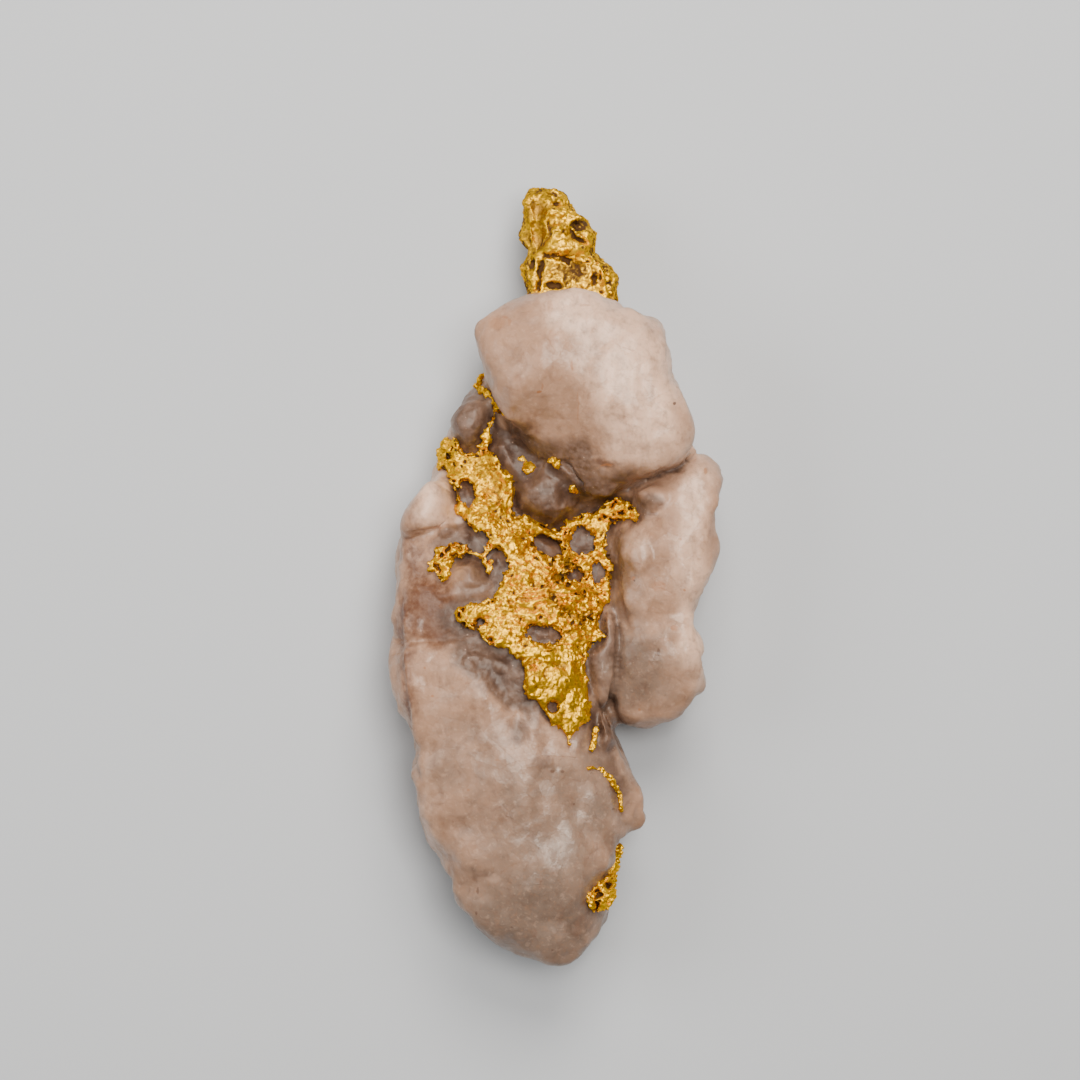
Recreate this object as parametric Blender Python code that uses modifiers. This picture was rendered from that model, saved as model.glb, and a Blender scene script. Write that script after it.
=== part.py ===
"""Native gold in milky quartz: a hand specimen 61 mm long, lying on its back.

The long axis is Y, with the bare gold crown at +Y. The face with the gold looks up, along +Z,
and the specimen rests on the flat at Z = 0. X and Y are 0 at the middle of its outline.

Sizes and places are in millimetres, and MM turns them into Blender's metres. An outline is the
edge of a form as seen from above. A chain is a list of stretches, each a run of beads (x, y, radius).
"""

import math
from dataclasses import dataclass

import bmesh
import bpy
from mathutils import Vector, noise
from mathutils.bvhtree import BVHTree

MM = 0.001
GAP = 0.3  # clearance between the gold and the quartz it lies in

# The quartz
LOBE_SEGMENTS, LOBE_RINGS = 144, 48
STONE_VOXEL = 0.4
STONE_FINAL_VOXEL = 0.3
STONE_TRIANGLES = 5200
STONE_SOFTENING = 5  # smoothing passes over the joints of the lobes
STONE_BOX = (40.0, 80.0, 6.0)  # the block that cuts the resting flat
FACE_LEVEL = 7.0  # the grooves are only above this
STONE_SWELL, STONE_SWELL_SIZE = 0.42, 5.5  # height and size of the broad swells
STONE_HOLLOW, STONE_HOLLOW_SIZE = 0.16, 1.9  # the same for the small hollows
HOLLOW_SHIFT = Vector((1.0, 2.0, 3.0))  # sets the hollows apart from the swells
GROOVE_REACH = 3.0  # half widths from its line at which a groove has run out

# The gold
GOLD_VOXEL = 0.16
GOLD_BUMP, GOLD_BUMP_SIZE = 0.13, 0.9  # height and size of its nodules
CROWN_BUMP, CROWN_BUMP_SIZE = 0.55, 2.6  # the same on the crown
BEAD_LIFT = 0.2  # how far a bead's centre is above the quartz, as a share of its radius
RING_POINTS = 6  # places round a point at which the ground is averaged
SHEET_RISE, SHEET_SINK = 0.75, 0.65  # top and underside of the sheet, from the face of the quartz
SHEET_TRIANGLES = 2700
CROWN_TRIANGLES = 900
TRIANGLES_PER_MM = 28  # on a chain, for each millimetre of its length
CEILING = 40.0  # where the plumb lines to the stone start
EDGE_LEVEL = 6.4  # height taken where a bead hangs past the stone's edge


@dataclass
class Lobe:
    """A rounded mass: its outline, the height of its widest section and its reach up and down from it."""

    centre: tuple
    outline: list
    middle: float
    rise: float
    sink: float
    fullness: float = 0.62  # 1 is an ellipsoid, less is boxier
    lean: tuple = (0.0, 0.0)  # slope of the top along X and Y


def oval(centre, half_width, half_length, turn=0.0, points=24):
    """An ellipse's outline, turned by turn degrees."""
    cos_turn, sin_turn = math.cos(math.radians(turn)), math.sin(math.radians(turn))
    outline = []
    for i in range(points):
        angle = math.tau * i / points
        x, y = half_width * math.cos(angle), half_length * math.sin(angle)
        outline.append((centre[0] + x * cos_turn - y * sin_turn, centre[1] + x * sin_turn + y * cos_turn))
    return outline


UPPER_OUTLINE = [
    (-2.1, 22.0), (-3.3, 21.1), (-4.2, 20.3), (-5.4, 19.4), (-5.8, 18.2), (-5.6, 17.2), (-5.7, 16.1),
    (-5.3, 14.3), (-4.5, 12.5), (-3.2, 10.9), (-1.7, 9.6), (-0.1, 8.5), (1.4, 7.1), (2.6, 5.9), (3.5, 5.5),
    (4.5, 6.1), (5.5, 6.8), (6.7, 7.6), (8.7, 8.2), (10.2, 9.0), (10.7, 10.0), (10.5, 11.6), (10.3, 13.4),
    (9.5, 15.1), (9.0, 16.9), (8.3, 18.9), (7.6, 20.0), (6.2, 20.7), (4.6, 21.4), (3.5, 22.2), (1.9, 22.9),
    (0.3, 22.7), (-0.9, 22.4),
]
RIGHT_OUTLINE = [
    (10.7, 9.7), (11.7, 9.0), (12.5, 8.5), (12.9, 7.6), (12.7, 6.5), (12.2, 5.7), (12.4, 4.2), (12.5, 2.2),
    (12.2, 0.9), (11.8, -1.2), (11.2, -2.6), (10.8, -3.8), (10.9, -4.9), (11.3, -5.9), (11.1, -7.3),
    (11.4, -8.8), (10.7, -9.8), (9.8, -10.7), (8.8, -11.3), (7.9, -11.6), (7.3, -12.1), (6.6, -12.4),
    (5.7, -12.2), (4.7, -11.6), (4.2, -10.6), (4.1, -9.4), (4.2, -7.0), (4.4, -4.6), (4.5, -2.2), (4.6, 0.2),
    (4.6, 2.2), (5.0, 4.2), (6.0, 6.0), (7.5, 7.8), (9.3, 9.2),
]
LOWER_OUTLINE = [
    (-8.8, 7.9), (-10.2, 6.8), (-11.2, 5.6), (-11.7, 4.1), (-12.0, 2.2), (-12.4, 0.4), (-12.6, -1.4),
    (-12.9, -3.0), (-12.5, -4.5), (-12.7, -6.0), (-12.8, -8.8), (-12.3, -10.6), (-11.8, -12.1),
    (-11.2, -13.4),
    (-10.8, -14.7), (-11.2, -15.9), (-10.9, -17.4), (-10.6, -18.6), (-10.6, -20.0), (-10.1, -21.4),
    (-9.1, -22.5), (-8.3, -23.3), (-8.1, -24.6), (-7.5, -25.8), (-6.9, -26.8), (-6.0, -28.1), (-4.7, -29.2),
    (-3.2, -30.0), (-2.2, -30.6), (-0.9, -31.0), (0.6, -31.0), (2.0, -30.2), (3.1, -29.2), (4.0, -27.8),
    (4.3, -26.5), (4.3, -25.0), (4.6, -23.3), (5.1, -21.8), (5.6, -20.7), (6.5, -19.9), (6.6, -18.5),
    (6.1, -17.0), (5.3, -14.8), (4.6, -12.7), (4.1, -11.1), (4.0, -9.0), (4.2, -5.0), (3.6, -1.0),
    (1.5, 2.5), (-2.0, 5.5), (-6.0, 7.8),
]
VALLEY_OUTLINE = [
    (-9.2, 9.6), (-8.4, 11.6), (-6.4, 13.8), (-2.5, 14.5), (3.0, 13.0), (7.5, 9.0), (9.0, 3.0), (7.5, -4.0),
    (5.0, -9.6), (1.0, -11.0), (-4.0, -9.5), (-8.5, -5.0), (-10.5, 0.5), (-10.6, 5.5), (-9.6, 8.4),
]
GREY_OUTLINE = [
    (-6.0, 15.4), (-6.8, 14.1), (-7.5, 12.9), (-8.1, 11.8), (-8.1, 10.8), (-7.8, 9.6), (-6.5, 9.5),
    (-5.4, 10.6), (-4.7, 12.2), (-4.6, 14.0),
]
SHOULDER_OUTLINE = [
    (-8.8, 7.9), (-10.2, 6.8), (-11.2, 5.6), (-11.7, 4.1), (-11.9, 3.1), (-10.6, 2.9), (-8.6, 3.6),
    (-7.6, 4.8), (-7.9, 6.5),
]

LOBES = {
    "lower": Lobe((-3.7, -11.8), LOWER_OUTLINE, 6.4, 7.4, 6.9, 0.78, (-0.03, -0.02)),
    "upper": Lobe((2.2, 14.2), UPPER_OUTLINE, 8.2, 8.2, 8.7, 0.74, (0.02, 0.02)),
    "right": Lobe((8.4, -1.5), RIGHT_OUTLINE, 6.0, 6.4, 5.0, 0.72, (0.12, 0.02)),
    "valley": Lobe((-1.0, 2.0), VALLEY_OUTLINE, 4.5, 4.9, 4.4, 0.5),
    "grey": Lobe((-6.6, 12.3), GREY_OUTLINE, 5.6, 5.4, 4.4),
    "shoulder": Lobe((-9.8, 5.4), SHOULDER_OUTLINE, 6.2, 6.1, 4.8, 0.7),
    "smoky knob": Lobe((-0.8, 6.2), oval((-0.8, 6.2), 2.6, 2.7), 8.0, 3.4, 3.0, 0.8),
    "smoky rib": Lobe((-3.9, 8.6), oval((-3.9, 8.6), 1.4, 4.4, 22.0), 7.4, 3.2, 3.0, 0.8),
    "pale crystal": Lobe((3.9, -6.4), oval((3.9, -6.4), 1.0, 4.2, -4.0), 7.6, 4.0, 4.0, 0.7),
    "flank": Lobe((4.3, -17.0), oval((4.3, -17.0), 1.5, 4.2, 14.0), 6.4, 4.6, 4.0, 0.8),
    "left bump": Lobe((-8.2, 2.6), oval((-8.2, 2.6), 1.9, 1.3, 20.0), 8.4, 3.4, 3.0, 0.9),
    "middle bump": Lobe((-6.2, 1.9), oval((-6.2, 1.9), 1.1, 1.5), 8.4, 2.9, 3.0, 0.9),
    "lower bump": Lobe((-6.6, -0.9), oval((-6.6, -0.9), 2.3, 1.6, 10.0), 8.7, 3.7, 3.0, 0.9),
    "near bump": Lobe((-4.3, -0.2), oval((-4.3, -0.2), 1.2, 1.7), 8.4, 3.0, 3.0, 0.9),
    "right bump": Lobe((7.1, 1.2), oval((7.1, 1.2), 2.3, 2.6), 8.2, 4.0, 3.0, 0.9),
    "top right bump": Lobe((7.4, 5.6), oval((7.4, 5.6), 1.8, 2.2, -30.0), 8.0, 3.8, 3.0, 0.9),
}

# Grooves in the face of the quartz: the line that each follows, its depth and its half width
GROOVES = {
    "step": (
        [(-12.4, -5.6), (-10.5, -5.5), (-8.1, -5.8), (-5.9, -6.9), (-4.3, -8.6), (-3.0, -11.0)],
        0.7,
        0.8,
    ),
    "shoulder": ([(-12.4, 2.9), (-10.1, 3.1), (-8.2, 3.9), (-7.4, 5.0)], 0.6, 0.6),
    "rind": ([(-11.8, -5.4), (-11.8, -8.6), (-11.3, -11.0), (-10.5, -14.2)], 0.5, 0.5),
    "thread": ([(2.6, -15.2), (4.0, -15.8), (4.9, -17.2), (5.3, -19.0), (5.4, -21.0)], 0.6, 0.5),
    "right lobe": ([(4.9, -3.7), (6.8, -4.3), (8.8, -3.2)], 0.4, 0.7),
    "under the knob": ([(-3.2, 4.6), (-0.8, 3.0), (1.8, 4.6)], 0.4, 0.7),
}

CROWN_OUTLINE = [
    (-2.2, 30.3), (-1.4, 30.4), (-0.3, 30.4), (0.4, 30.1), (1.2, 29.3), (2.1, 28.3), (2.6, 28.0), (3.0, 27.3),
    (3.0, 25.7), (3.5, 24.9), (4.3, 24.7), (4.8, 24.0), (4.9, 23.3), (4.6, 22.7), (4.6, 21.9), (4.2, 20.6),
    (2.6, 19.6), (0.4, 19.4), (-1.4, 20.2), (-2.3, 21.4), (-2.3, 22.9), (-2.6, 23.8), (-2.7, 24.8),
    (-2.3, 25.2), (-2.3, 26.1), (-2.8, 26.7), (-2.8, 27.4), (-2.5, 29.0), (-2.7, 29.8),
]
CROWN = Lobe((0.3, 25.4), CROWN_OUTLINE, 5.7, 2.9, 2.9, 0.72, (0.0, 0.03))

SHEET_OUTLINE = [
    (-8.8, 10.8), (-7.9, 10.8), (-7.8, 10.1), (-7.7, 9.3), (-7.1, 9.5), (-6.4, 9.6), (-5.8, 9.4), (-5.4, 9.7),
    (-5.1, 9.6), (-4.8, 9.0), (-4.6, 8.5), (-3.9, 7.8), (-3.4, 7.2), (-3.3, 6.6), (-3.4, 5.8), (-3.5, 5.4),
    (-3.4, 4.6), (-3.0, 4.3), (-2.6, 4.6), (-2.2, 4.2), (-1.6, 3.9), (-1.2, 4.1), (-0.5, 3.4), (0.2, 3.4),
    (0.9, 4.1), (1.4, 4.1), (1.9, 4.6), (2.6, 4.9), (3.5, 4.9), (4.2, 5.8), (4.5, 5.8), (5.0, 5.9),
    (5.8, 5.5), (6.1, 5.2), (6.6, 4.5), (6.6, 4.2), (6.0, 4.3), (5.4, 4.3), (4.7, 4.1), (4.2, 3.8),
    (4.0, 3.4), (3.8, 2.2), (4.1, 1.5), (4.3, 1.0), (4.4, 0.2), (4.3, -0.6), (4.2, -1.2), (4.2, -1.9),
    (3.8, -2.5), (3.4, -3.1), (3.1, -3.9), (3.7, -4.6), (3.8, -5.0), (2.8, -5.5), (2.5, -6.0), (2.2, -6.6),
    (2.2, -7.5), (2.4, -8.2), (2.5, -8.8), (2.4, -9.6), (2.7, -10.3), (2.8, -10.8), (2.7, -11.4),
    (1.8, -12.1), (1.2, -12.5), (0.6, -12.5), (0.2, -12.0), (-0.4, -11.7), (-0.6, -11.1), (-1.2, -10.4),
    (-1.3, -9.9), (-2.1, -9.8), (-2.4, -9.5), (-2.3, -8.6), (-2.3, -7.8), (-2.4, -7.0), (-2.4, -6.7),
    (-3.3, -6.3), (-3.9, -5.9), (-3.6, -5.4), (-4.0, -5.6), (-4.6, -5.8), (-5.4, -5.4), (-5.7, -4.9),
    (-6.3, -4.5), (-7.3, -4.1), (-7.2, -3.6), (-7.8, -3.3), (-7.7, -2.9), (-6.6, -2.6), (-5.6, -2.3),
    (-4.6, -2.2), (-4.5, -1.9), (-4.2, -1.2), (-4.1, -0.2), (-3.6, 0.6), (-4.1, 1.7), (-5.0, 2.9),
    (-5.4, 3.2), (-6.2, 3.5), (-6.8, 3.8), (-6.9, 4.2), (-7.4, 4.6), (-7.8, 5.0), (-7.8, 5.6), (-7.9, 6.4),
    (-8.2, 7.2), (-8.7, 8.0), (-9.3, 8.6), (-9.5, 9.4), (-9.3, 10.2),
]
SHEET_HOLES = [
    oval((-7.0, 6.3), 0.70, 1.20, 8.0),
    oval((-0.8, 2.2), 1.40, 0.80, -25.0),
    oval((2.0, 2.6), 1.15, 1.25),
    oval((1.6, -0.2), 0.90, 0.65),
    oval((3.3, 0.0), 0.65, 0.90),
    oval((-1.0, -4.8), 1.55, 0.80),
    oval((-5.9, -3.8), 0.55, 0.55),
    oval((-0.3, -10.4), 0.50, 0.50),
]
# Veins that run into the sheet: the upper vein, the left branch with its arm, and the tip of the tail
SHEET_CHAINS = [
    [(-5.7, 16.0, 0.40), (-6.2, 14.8, 0.45), (-5.3, 14.2, 0.42), (-4.9, 13.5, 0.40), (-4.0, 12.5, 0.32)],
    [(-4.9, 13.4, 0.34), (-5.0, 12.2, 0.32), (-5.4, 11.0, 0.36), (-5.8, 9.9, 0.45), (-6.0, 8.8, 0.50)],
    [(-9.7, 0.5, 0.50), (-8.9, 1.4, 0.75), (-8.2, 1.6, 0.60), (-7.1, 2.1, 0.45), (-6.7, 1.6, 0.34)],
    [(-6.7, 1.6, 0.34), (-5.8, 1.3, 0.36), (-5.3, 2.1, 0.40), (-4.6, 2.4, 0.50)],
    [(-9.1, 1.0, 0.70), (-8.8, 0.2, 0.60), (-8.8, -0.4, 0.42)],
    [(-5.8, 1.3, 0.34), (-5.3, 0.6, 0.32), (-5.2, 0.0, 0.28)],
    [(1.0, -12.2, 0.30), (1.0, -12.9, 0.24), (0.9, -13.4, 0.22)],
]
LOOSE_CHAINS = {
    "gold_fleck_left": [
        [(-2.7, 9.1, 0.26), (-2.1, 8.6, 0.30), (-2.3, 8.1, 0.24)],
        [(-2.1, 8.6, 0.26), (-1.6, 9.0, 0.22)],
    ],
    "gold_fleck_middle": [[(-0.3, 8.9, 0.36), (0.1, 8.5, 0.36)]],
    "gold_fleck_right": [[(1.3, 6.9, 0.24), (1.7, 6.3, 0.24)]],
    "gold_thread_middle": [[(3.1, -12.3, 0.28), (3.0, -13.0, 0.24), (2.8, -13.8, 0.26)]],
    "gold_thread_long": [
        [(2.6, -15.3, 0.26), (3.5, -15.4, 0.30), (4.3, -16.2, 0.28), (5.0, -17.4, 0.24), (5.2, -18.8, 0.22)],
    ],
    "gold_flank_patch": [
        [(5.0, -21.9, 0.28), (4.7, -23.0, 0.32), (4.3, -24.2, 0.45), (3.8, -25.0, 0.60), (3.2, -25.6, 0.65)],
        [(4.3, -24.2, 0.40), (4.3, -25.2, 0.42), (3.9, -26.0, 0.50), (3.2, -26.3, 0.45), (3.0, -25.8, 0.50)],
    ],
}


def reach_of(outline, centre, angle):
    """How far the outline lies from the centre in the direction of this angle."""
    along = Vector((math.cos(angle), math.sin(angle)))
    across = Vector((-along.y, along.x))
    farthest = 0.0
    for i, end in enumerate(outline):
        start = Vector(outline[i - 1]) - Vector(centre)
        stop = Vector(end) - Vector(centre)
        side_a, side_b = start.dot(across), stop.dot(across)
        if side_a * side_b > 0 or side_a == side_b:
            continue
        crossing = start.lerp(stop, side_a / (side_a - side_b)).dot(along)
        farthest = max(farthest, crossing)
    return farthest


def distance_to_line(point, line):
    """The distance in plan from a point to a line of straight stretches."""
    nearest = math.inf
    for start, end in zip(line, line[1:]):
        a, b, p = Vector(start), Vector(end), Vector(point)
        share = (p - a).dot(b - a) / (b - a).length_squared
        nearest = min(nearest, (p - a.lerp(b, max(0.0, min(1.0, share)))).length)
    return nearest


def swell(point, size, octaves):
    """Smooth noise from about -1 to 1, with features of this size in mm."""
    return noise.fractal(point / (size * MM), 1.0, 2.0, octaves)


def clear_scene():
    """Removes what Blender starts with."""
    for obj in list(bpy.data.objects):
        bpy.data.objects.remove(obj, do_unlink=True)


def collection_of(name):
    """A new collection in the scene."""
    made = bpy.data.collections.new(name)
    bpy.context.scene.collection.children.link(made)
    return made


def work_in(collection):
    """Makes this the collection that new objects go to."""
    layers = bpy.context.view_layer.layer_collection.children
    bpy.context.view_layer.active_layer_collection = layers[collection.name]


def material(name, colour, roughness, metallic=0.0):
    """A plain material of one colour."""
    made = bpy.data.materials.new(name)
    made.use_nodes = True
    shader = made.node_tree.nodes["Principled BSDF"]
    shader.inputs["Base Color"].default_value = (*colour, 1.0)
    shader.inputs["Roughness"].default_value = roughness
    shader.inputs["Metallic"].default_value = metallic
    return made


def finish(obj, name, look):
    """Names a finished piece and gives it its one material."""
    obj.name = name
    obj.data.name = name
    obj.data.materials.clear()
    obj.data.materials.append(look)
    obj.data.shade_smooth()


def join(objects):
    """Makes the objects one, which keeps the first one's name."""
    bpy.ops.object.select_all(action="DESELECT")
    for obj in objects:
        obj.select_set(True)
    bpy.context.view_layer.objects.active = objects[0]
    if len(objects) > 1:
        bpy.ops.object.join()
    return objects[0]


def apply_modifier(obj, kind, **settings):
    """Adds a modifier of this kind and makes its shape the mesh."""
    bpy.context.view_layer.objects.active = obj
    modifier = obj.modifiers.new(kind.lower(), kind)
    for key, value in settings.items():
        setattr(modifier, key, value)
    bpy.ops.object.modifier_apply(modifier=modifier.name)


def fuse(obj, voxel):
    """Makes whatever overlaps in the object one closed skin."""
    apply_modifier(obj, "REMESH", mode="VOXEL", voxel_size=voxel * MM)


def push_out(obj, amount):
    """Moves each vertex along its normal by amount(place) in mm."""
    normals = [vertex.normal.copy() for vertex in obj.data.vertices]
    for vertex, normal in zip(obj.data.vertices, normals):
        vertex.co += normal * amount(vertex.co) * MM


def reduce_to(obj, triangles):
    """Thins the mesh to about this many triangles."""
    apply_modifier(obj, "TRIANGULATE")
    apply_modifier(obj, "DECIMATE", ratio=min(1.0, triangles / len(obj.data.polygons)))


def subtract(obj, cutter, cutters):
    """Cuts the cutter out of the object, then puts it away where it isn't part of the model.

    The exact solver loses the whole stone here, so this is the manifold one.
    """
    apply_modifier(obj, "BOOLEAN", operation="DIFFERENCE", solver="MANIFOLD", object=cutter)
    for home in list(cutter.users_collection):
        home.objects.unlink(cutter)
    cutters.objects.link(cutter)
    cutter.hide_render = True
    cutter.display_type = "WIRE"


def largest_body_only(obj):
    """Drops the crumbs that a cut leaves beside the one grown body."""
    mesh = bmesh.new()
    mesh.from_mesh(obj.data)
    bodies = []
    left = set(mesh.verts)
    while left:
        front = [left.pop()]
        body = list(front)
        while front:
            reached = front.pop()
            near = [edge.other_vert(reached) for edge in reached.link_edges]
            fresh = [vert for vert in near if vert in left]
            left.difference_update(fresh)
            front += fresh
            body += fresh
        bodies.append(body)
    bodies.sort(key=len)
    for crumb in bodies[:-1]:
        bmesh.ops.delete(mesh, geom=crumb, context="VERTS")
    mesh.to_mesh(obj.data)
    mesh.free()


def lobe_mesh(lobe):
    """A UV sphere stretched so that its equator is the lobe's outline."""
    bpy.ops.mesh.primitive_uv_sphere_add(segments=LOBE_SEGMENTS, ring_count=LOBE_RINGS, radius=1.0)
    ball = bpy.context.object
    reaches = {}
    for vertex in ball.data.vertices:
        x, y, z = vertex.co
        angle = round(math.atan2(y, x), 4)
        if angle not in reaches:
            reaches[angle] = reach_of(lobe.outline, lobe.centre, angle)
        spread = min(1.0, math.hypot(x, y)) ** lobe.fullness * reaches[angle]
        lift = math.copysign(min(1.0, abs(z)) ** lobe.fullness, z)
        dx, dy = spread * math.cos(angle), spread * math.sin(angle)
        height = lobe.middle + lift * (lobe.rise if z > 0 else lobe.sink)
        if z > 0:
            height += lift * (dx * lobe.lean[0] + dy * lobe.lean[1])
        vertex.co = Vector((lobe.centre[0] + dx, lobe.centre[1] + dy, height)) * MM
    return ball


def weather(obj):
    """Breaks up the smooth lobes: broad swells and small hollows everywhere, and the grooves on the face."""

    def amount(place):
        broad = STONE_SWELL * swell(place, STONE_SWELL_SIZE, 2)
        return broad + STONE_HOLLOW * swell(place + HOLLOW_SHIFT, STONE_HOLLOW_SIZE, 2)

    push_out(obj, amount)
    for vertex in obj.data.vertices:
        if vertex.co.z < FACE_LEVEL * MM:
            continue
        plan = (vertex.co.x / MM, vertex.co.y / MM)
        for line, depth, half_width in GROOVES.values():
            off = distance_to_line(plan, line) / half_width
            if off < GROOVE_REACH:
                vertex.co.z -= depth * math.exp(-off * off) * MM


def build_lobes():
    """The whole matrix before the gold's beds are cut: every lobe fused and weathered."""
    stone = join([lobe_mesh(lobe) for lobe in LOBES.values()])
    fuse(stone, STONE_VOXEL)
    apply_modifier(stone, "SMOOTH", factor=0.5, iterations=STONE_SOFTENING)
    weather(stone)
    return stone


class Ground:
    """The face of the quartz as seen from above."""

    def __init__(self, stone):
        self.tree = BVHTree.FromObject(stone, bpy.context.evaluated_depsgraph_get())

    def height(self, x, y):
        """The height in mm of the stone under this point, or EDGE_LEVEL past its edge."""
        struck = self.tree.ray_cast(Vector((x, y, CEILING)) * MM, Vector((0, 0, -1)))[0]
        return max(EDGE_LEVEL, struck.z / MM) if struck else EDGE_LEVEL

    def softened(self, x, y, reach):
        """The height averaged over a ring, so that a sheet bridges the small crevices."""
        total = self.height(x, y)
        for i in range(RING_POINTS):
            angle = math.tau * i / RING_POINTS
            total += self.height(x + reach * math.cos(angle), y + reach * math.sin(angle))
        return total / (RING_POINTS + 1)


def bead_mesh(chain, ground):
    """The beads along a chain, each half sunk in the quartz, as loose spheres that overlap."""
    beads = []
    for stretch in chain:
        for start, end in zip(stretch, stretch[1:]):
            length = math.dist(start[:2], end[:2])
            steps = max(2, math.ceil(length / (0.5 * min(start[2], end[2]))))
            for i in range(steps + 1):
                x, y, radius = (a + (b - a) * i / steps for a, b in zip(start, end))
                centre = Vector((x, y, ground.height(x, y) + BEAD_LIFT * radius)) * MM
                bpy.ops.mesh.primitive_ico_sphere_add(subdivisions=2, radius=radius * MM, location=centre)
                beads.append(bpy.context.object)
    made = join(beads)
    bpy.ops.object.transform_apply(location=True, rotation=True, scale=True)
    return made


def chain_length(chain):
    """The length in plan of all the chain's stretches."""
    return sum(math.dist(a[:2], b[:2]) for stretch in chain for a, b in zip(stretch, stretch[1:]))


def slab_mesh(outline, holes, thickness):
    """A flat slab of this outline, pierced by the holes."""
    curve = bpy.data.curves.new("slab", "CURVE")
    curve.dimensions = "2D"
    curve.fill_mode = "BOTH"
    curve.extrude = thickness / 2 * MM
    for ring in [outline, *holes]:
        spline = curve.splines.new("POLY")
        spline.points.add(len(ring) - 1)
        spline.use_cyclic_u = True
        for point, (x, y) in zip(spline.points, ring):
            point.co = (x * MM, y * MM, 0.0, 1.0)
    drawn = bpy.data.objects.new("slab", curve)
    bpy.context.collection.objects.link(drawn)
    graph = bpy.context.evaluated_depsgraph_get()
    mesh = bpy.data.meshes.new_from_object(drawn.evaluated_get(graph))
    bpy.data.objects.remove(drawn)
    shell = bmesh.new()
    shell.from_mesh(mesh)
    bmesh.ops.remove_doubles(shell, verts=shell.verts, dist=1e-6)
    bmesh.ops.recalc_face_normals(shell, faces=shell.faces)
    shell.to_mesh(mesh)
    shell.free()
    slab = bpy.data.objects.new("slab", mesh)
    bpy.context.collection.objects.link(slab)
    return slab


def build_sheet(ground):
    """The sheet, draped over the quartz, with the veins that run into it."""
    sheet = slab_mesh(SHEET_OUTLINE, SHEET_HOLES, SHEET_RISE + SHEET_SINK)
    fuse(sheet, GOLD_VOXEL)
    apply_modifier(sheet, "SMOOTH", factor=0.5, iterations=2)
    for vertex in sheet.data.vertices:
        level = ground.softened(vertex.co.x / MM, vertex.co.y / MM, 0.5)
        vertex.co.z += (level + (SHEET_RISE - SHEET_SINK) / 2) * MM
    sheet = join([sheet, bead_mesh(SHEET_CHAINS, ground)])
    fuse(sheet, GOLD_VOXEL)
    push_out(sheet, lambda place: GOLD_BUMP * swell(place, GOLD_BUMP_SIZE, 2))
    return sheet


def build_chain(chain, ground):
    """A fleck, a thread or a patch of beads."""
    gold = bead_mesh(chain, ground)
    fuse(gold, GOLD_VOXEL / 2)
    push_out(gold, lambda place: GOLD_BUMP / 2 * swell(place, GOLD_BUMP_SIZE, 2))
    return gold


def build_crown():
    """The bare gold that stands past the end of the quartz."""
    crown = lobe_mesh(CROWN)
    fuse(crown, 2 * GOLD_VOXEL)
    push_out(crown, lambda place: CROWN_BUMP * swell(place, CROWN_BUMP_SIZE, 3))
    return crown


def bed_cutter(pieces):
    """All the gold in one, swollen by the gap: what the quartz leaves free for it."""
    swollen = []
    for piece in pieces:
        copy = piece.copy()
        copy.data = piece.data.copy()
        bpy.context.collection.objects.link(copy)
        push_out(copy, lambda place: GAP)
        swollen.append(copy)
    cutter = join(swollen)
    fuse(cutter, 2 * GOLD_VOXEL)
    cutter.name = "gold_beds"
    return cutter


def underside_cutter():
    """The block below Z = 0."""
    centre = (0.0, 0.0, -STONE_BOX[2] / 2 * MM)
    bpy.ops.mesh.primitive_cube_add(size=1.0, scale=Vector(STONE_BOX) * MM, location=centre)
    block = bpy.context.object
    block.name = "underside"
    bpy.ops.object.transform_apply(location=True, rotation=True, scale=True)
    return block


def main():
    """Builds the quartz and every piece of gold, and cuts the beds that the gold lies in."""
    clear_scene()
    specimen = collection_of("gold in quartz")
    cutters = collection_of("cutters")
    work_in(specimen)
    quartz = material("milky quartz", (0.80, 0.72, 0.66), 0.45)
    gold = material("native gold", (0.86, 0.56, 0.13), 0.32, 1.0)

    stone = build_lobes()
    ground = Ground(stone)
    pieces = {"gold_crown": build_crown(), "gold_sheet": build_sheet(ground)}
    triangles = {"gold_crown": CROWN_TRIANGLES, "gold_sheet": SHEET_TRIANGLES}
    for name, chain in LOOSE_CHAINS.items():
        pieces[name] = build_chain(chain, ground)
        triangles[name] = 60 + int(TRIANGLES_PER_MM * chain_length(chain))

    subtract(stone, bed_cutter(pieces.values()), cutters)
    fuse(stone, STONE_FINAL_VOXEL)
    reduce_to(stone, STONE_TRIANGLES)
    subtract(stone, underside_cutter(), cutters)
    largest_body_only(stone)
    finish(stone, "quartz_matrix", quartz)
    for name, piece in pieces.items():
        reduce_to(piece, triangles[name])
        finish(piece, name, gold)


main()
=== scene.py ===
"""The looks of a gold specimen: spongy native gold in a lobed mass of milky quartz.

The specimen lies on its back on a pale table. Its quartz is one waxy mass with a smoky recess, rust stains
and small orange specks. Its gold is a bare crown at the far end, a crackled sheet across the recess, three
flecks, two threads and a patch on the flank.

Places are in millimetres as the specimen lies: X to its right, Y towards the crown, Z up from the table.
"""

import logging
import math
from dataclasses import dataclass, field
from enum import Enum
from typing import Any, Callable, Iterable, Sequence

import bpy
import numpy as np
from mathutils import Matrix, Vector, noise
from mathutils.bvhtree import BVHTree


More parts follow.
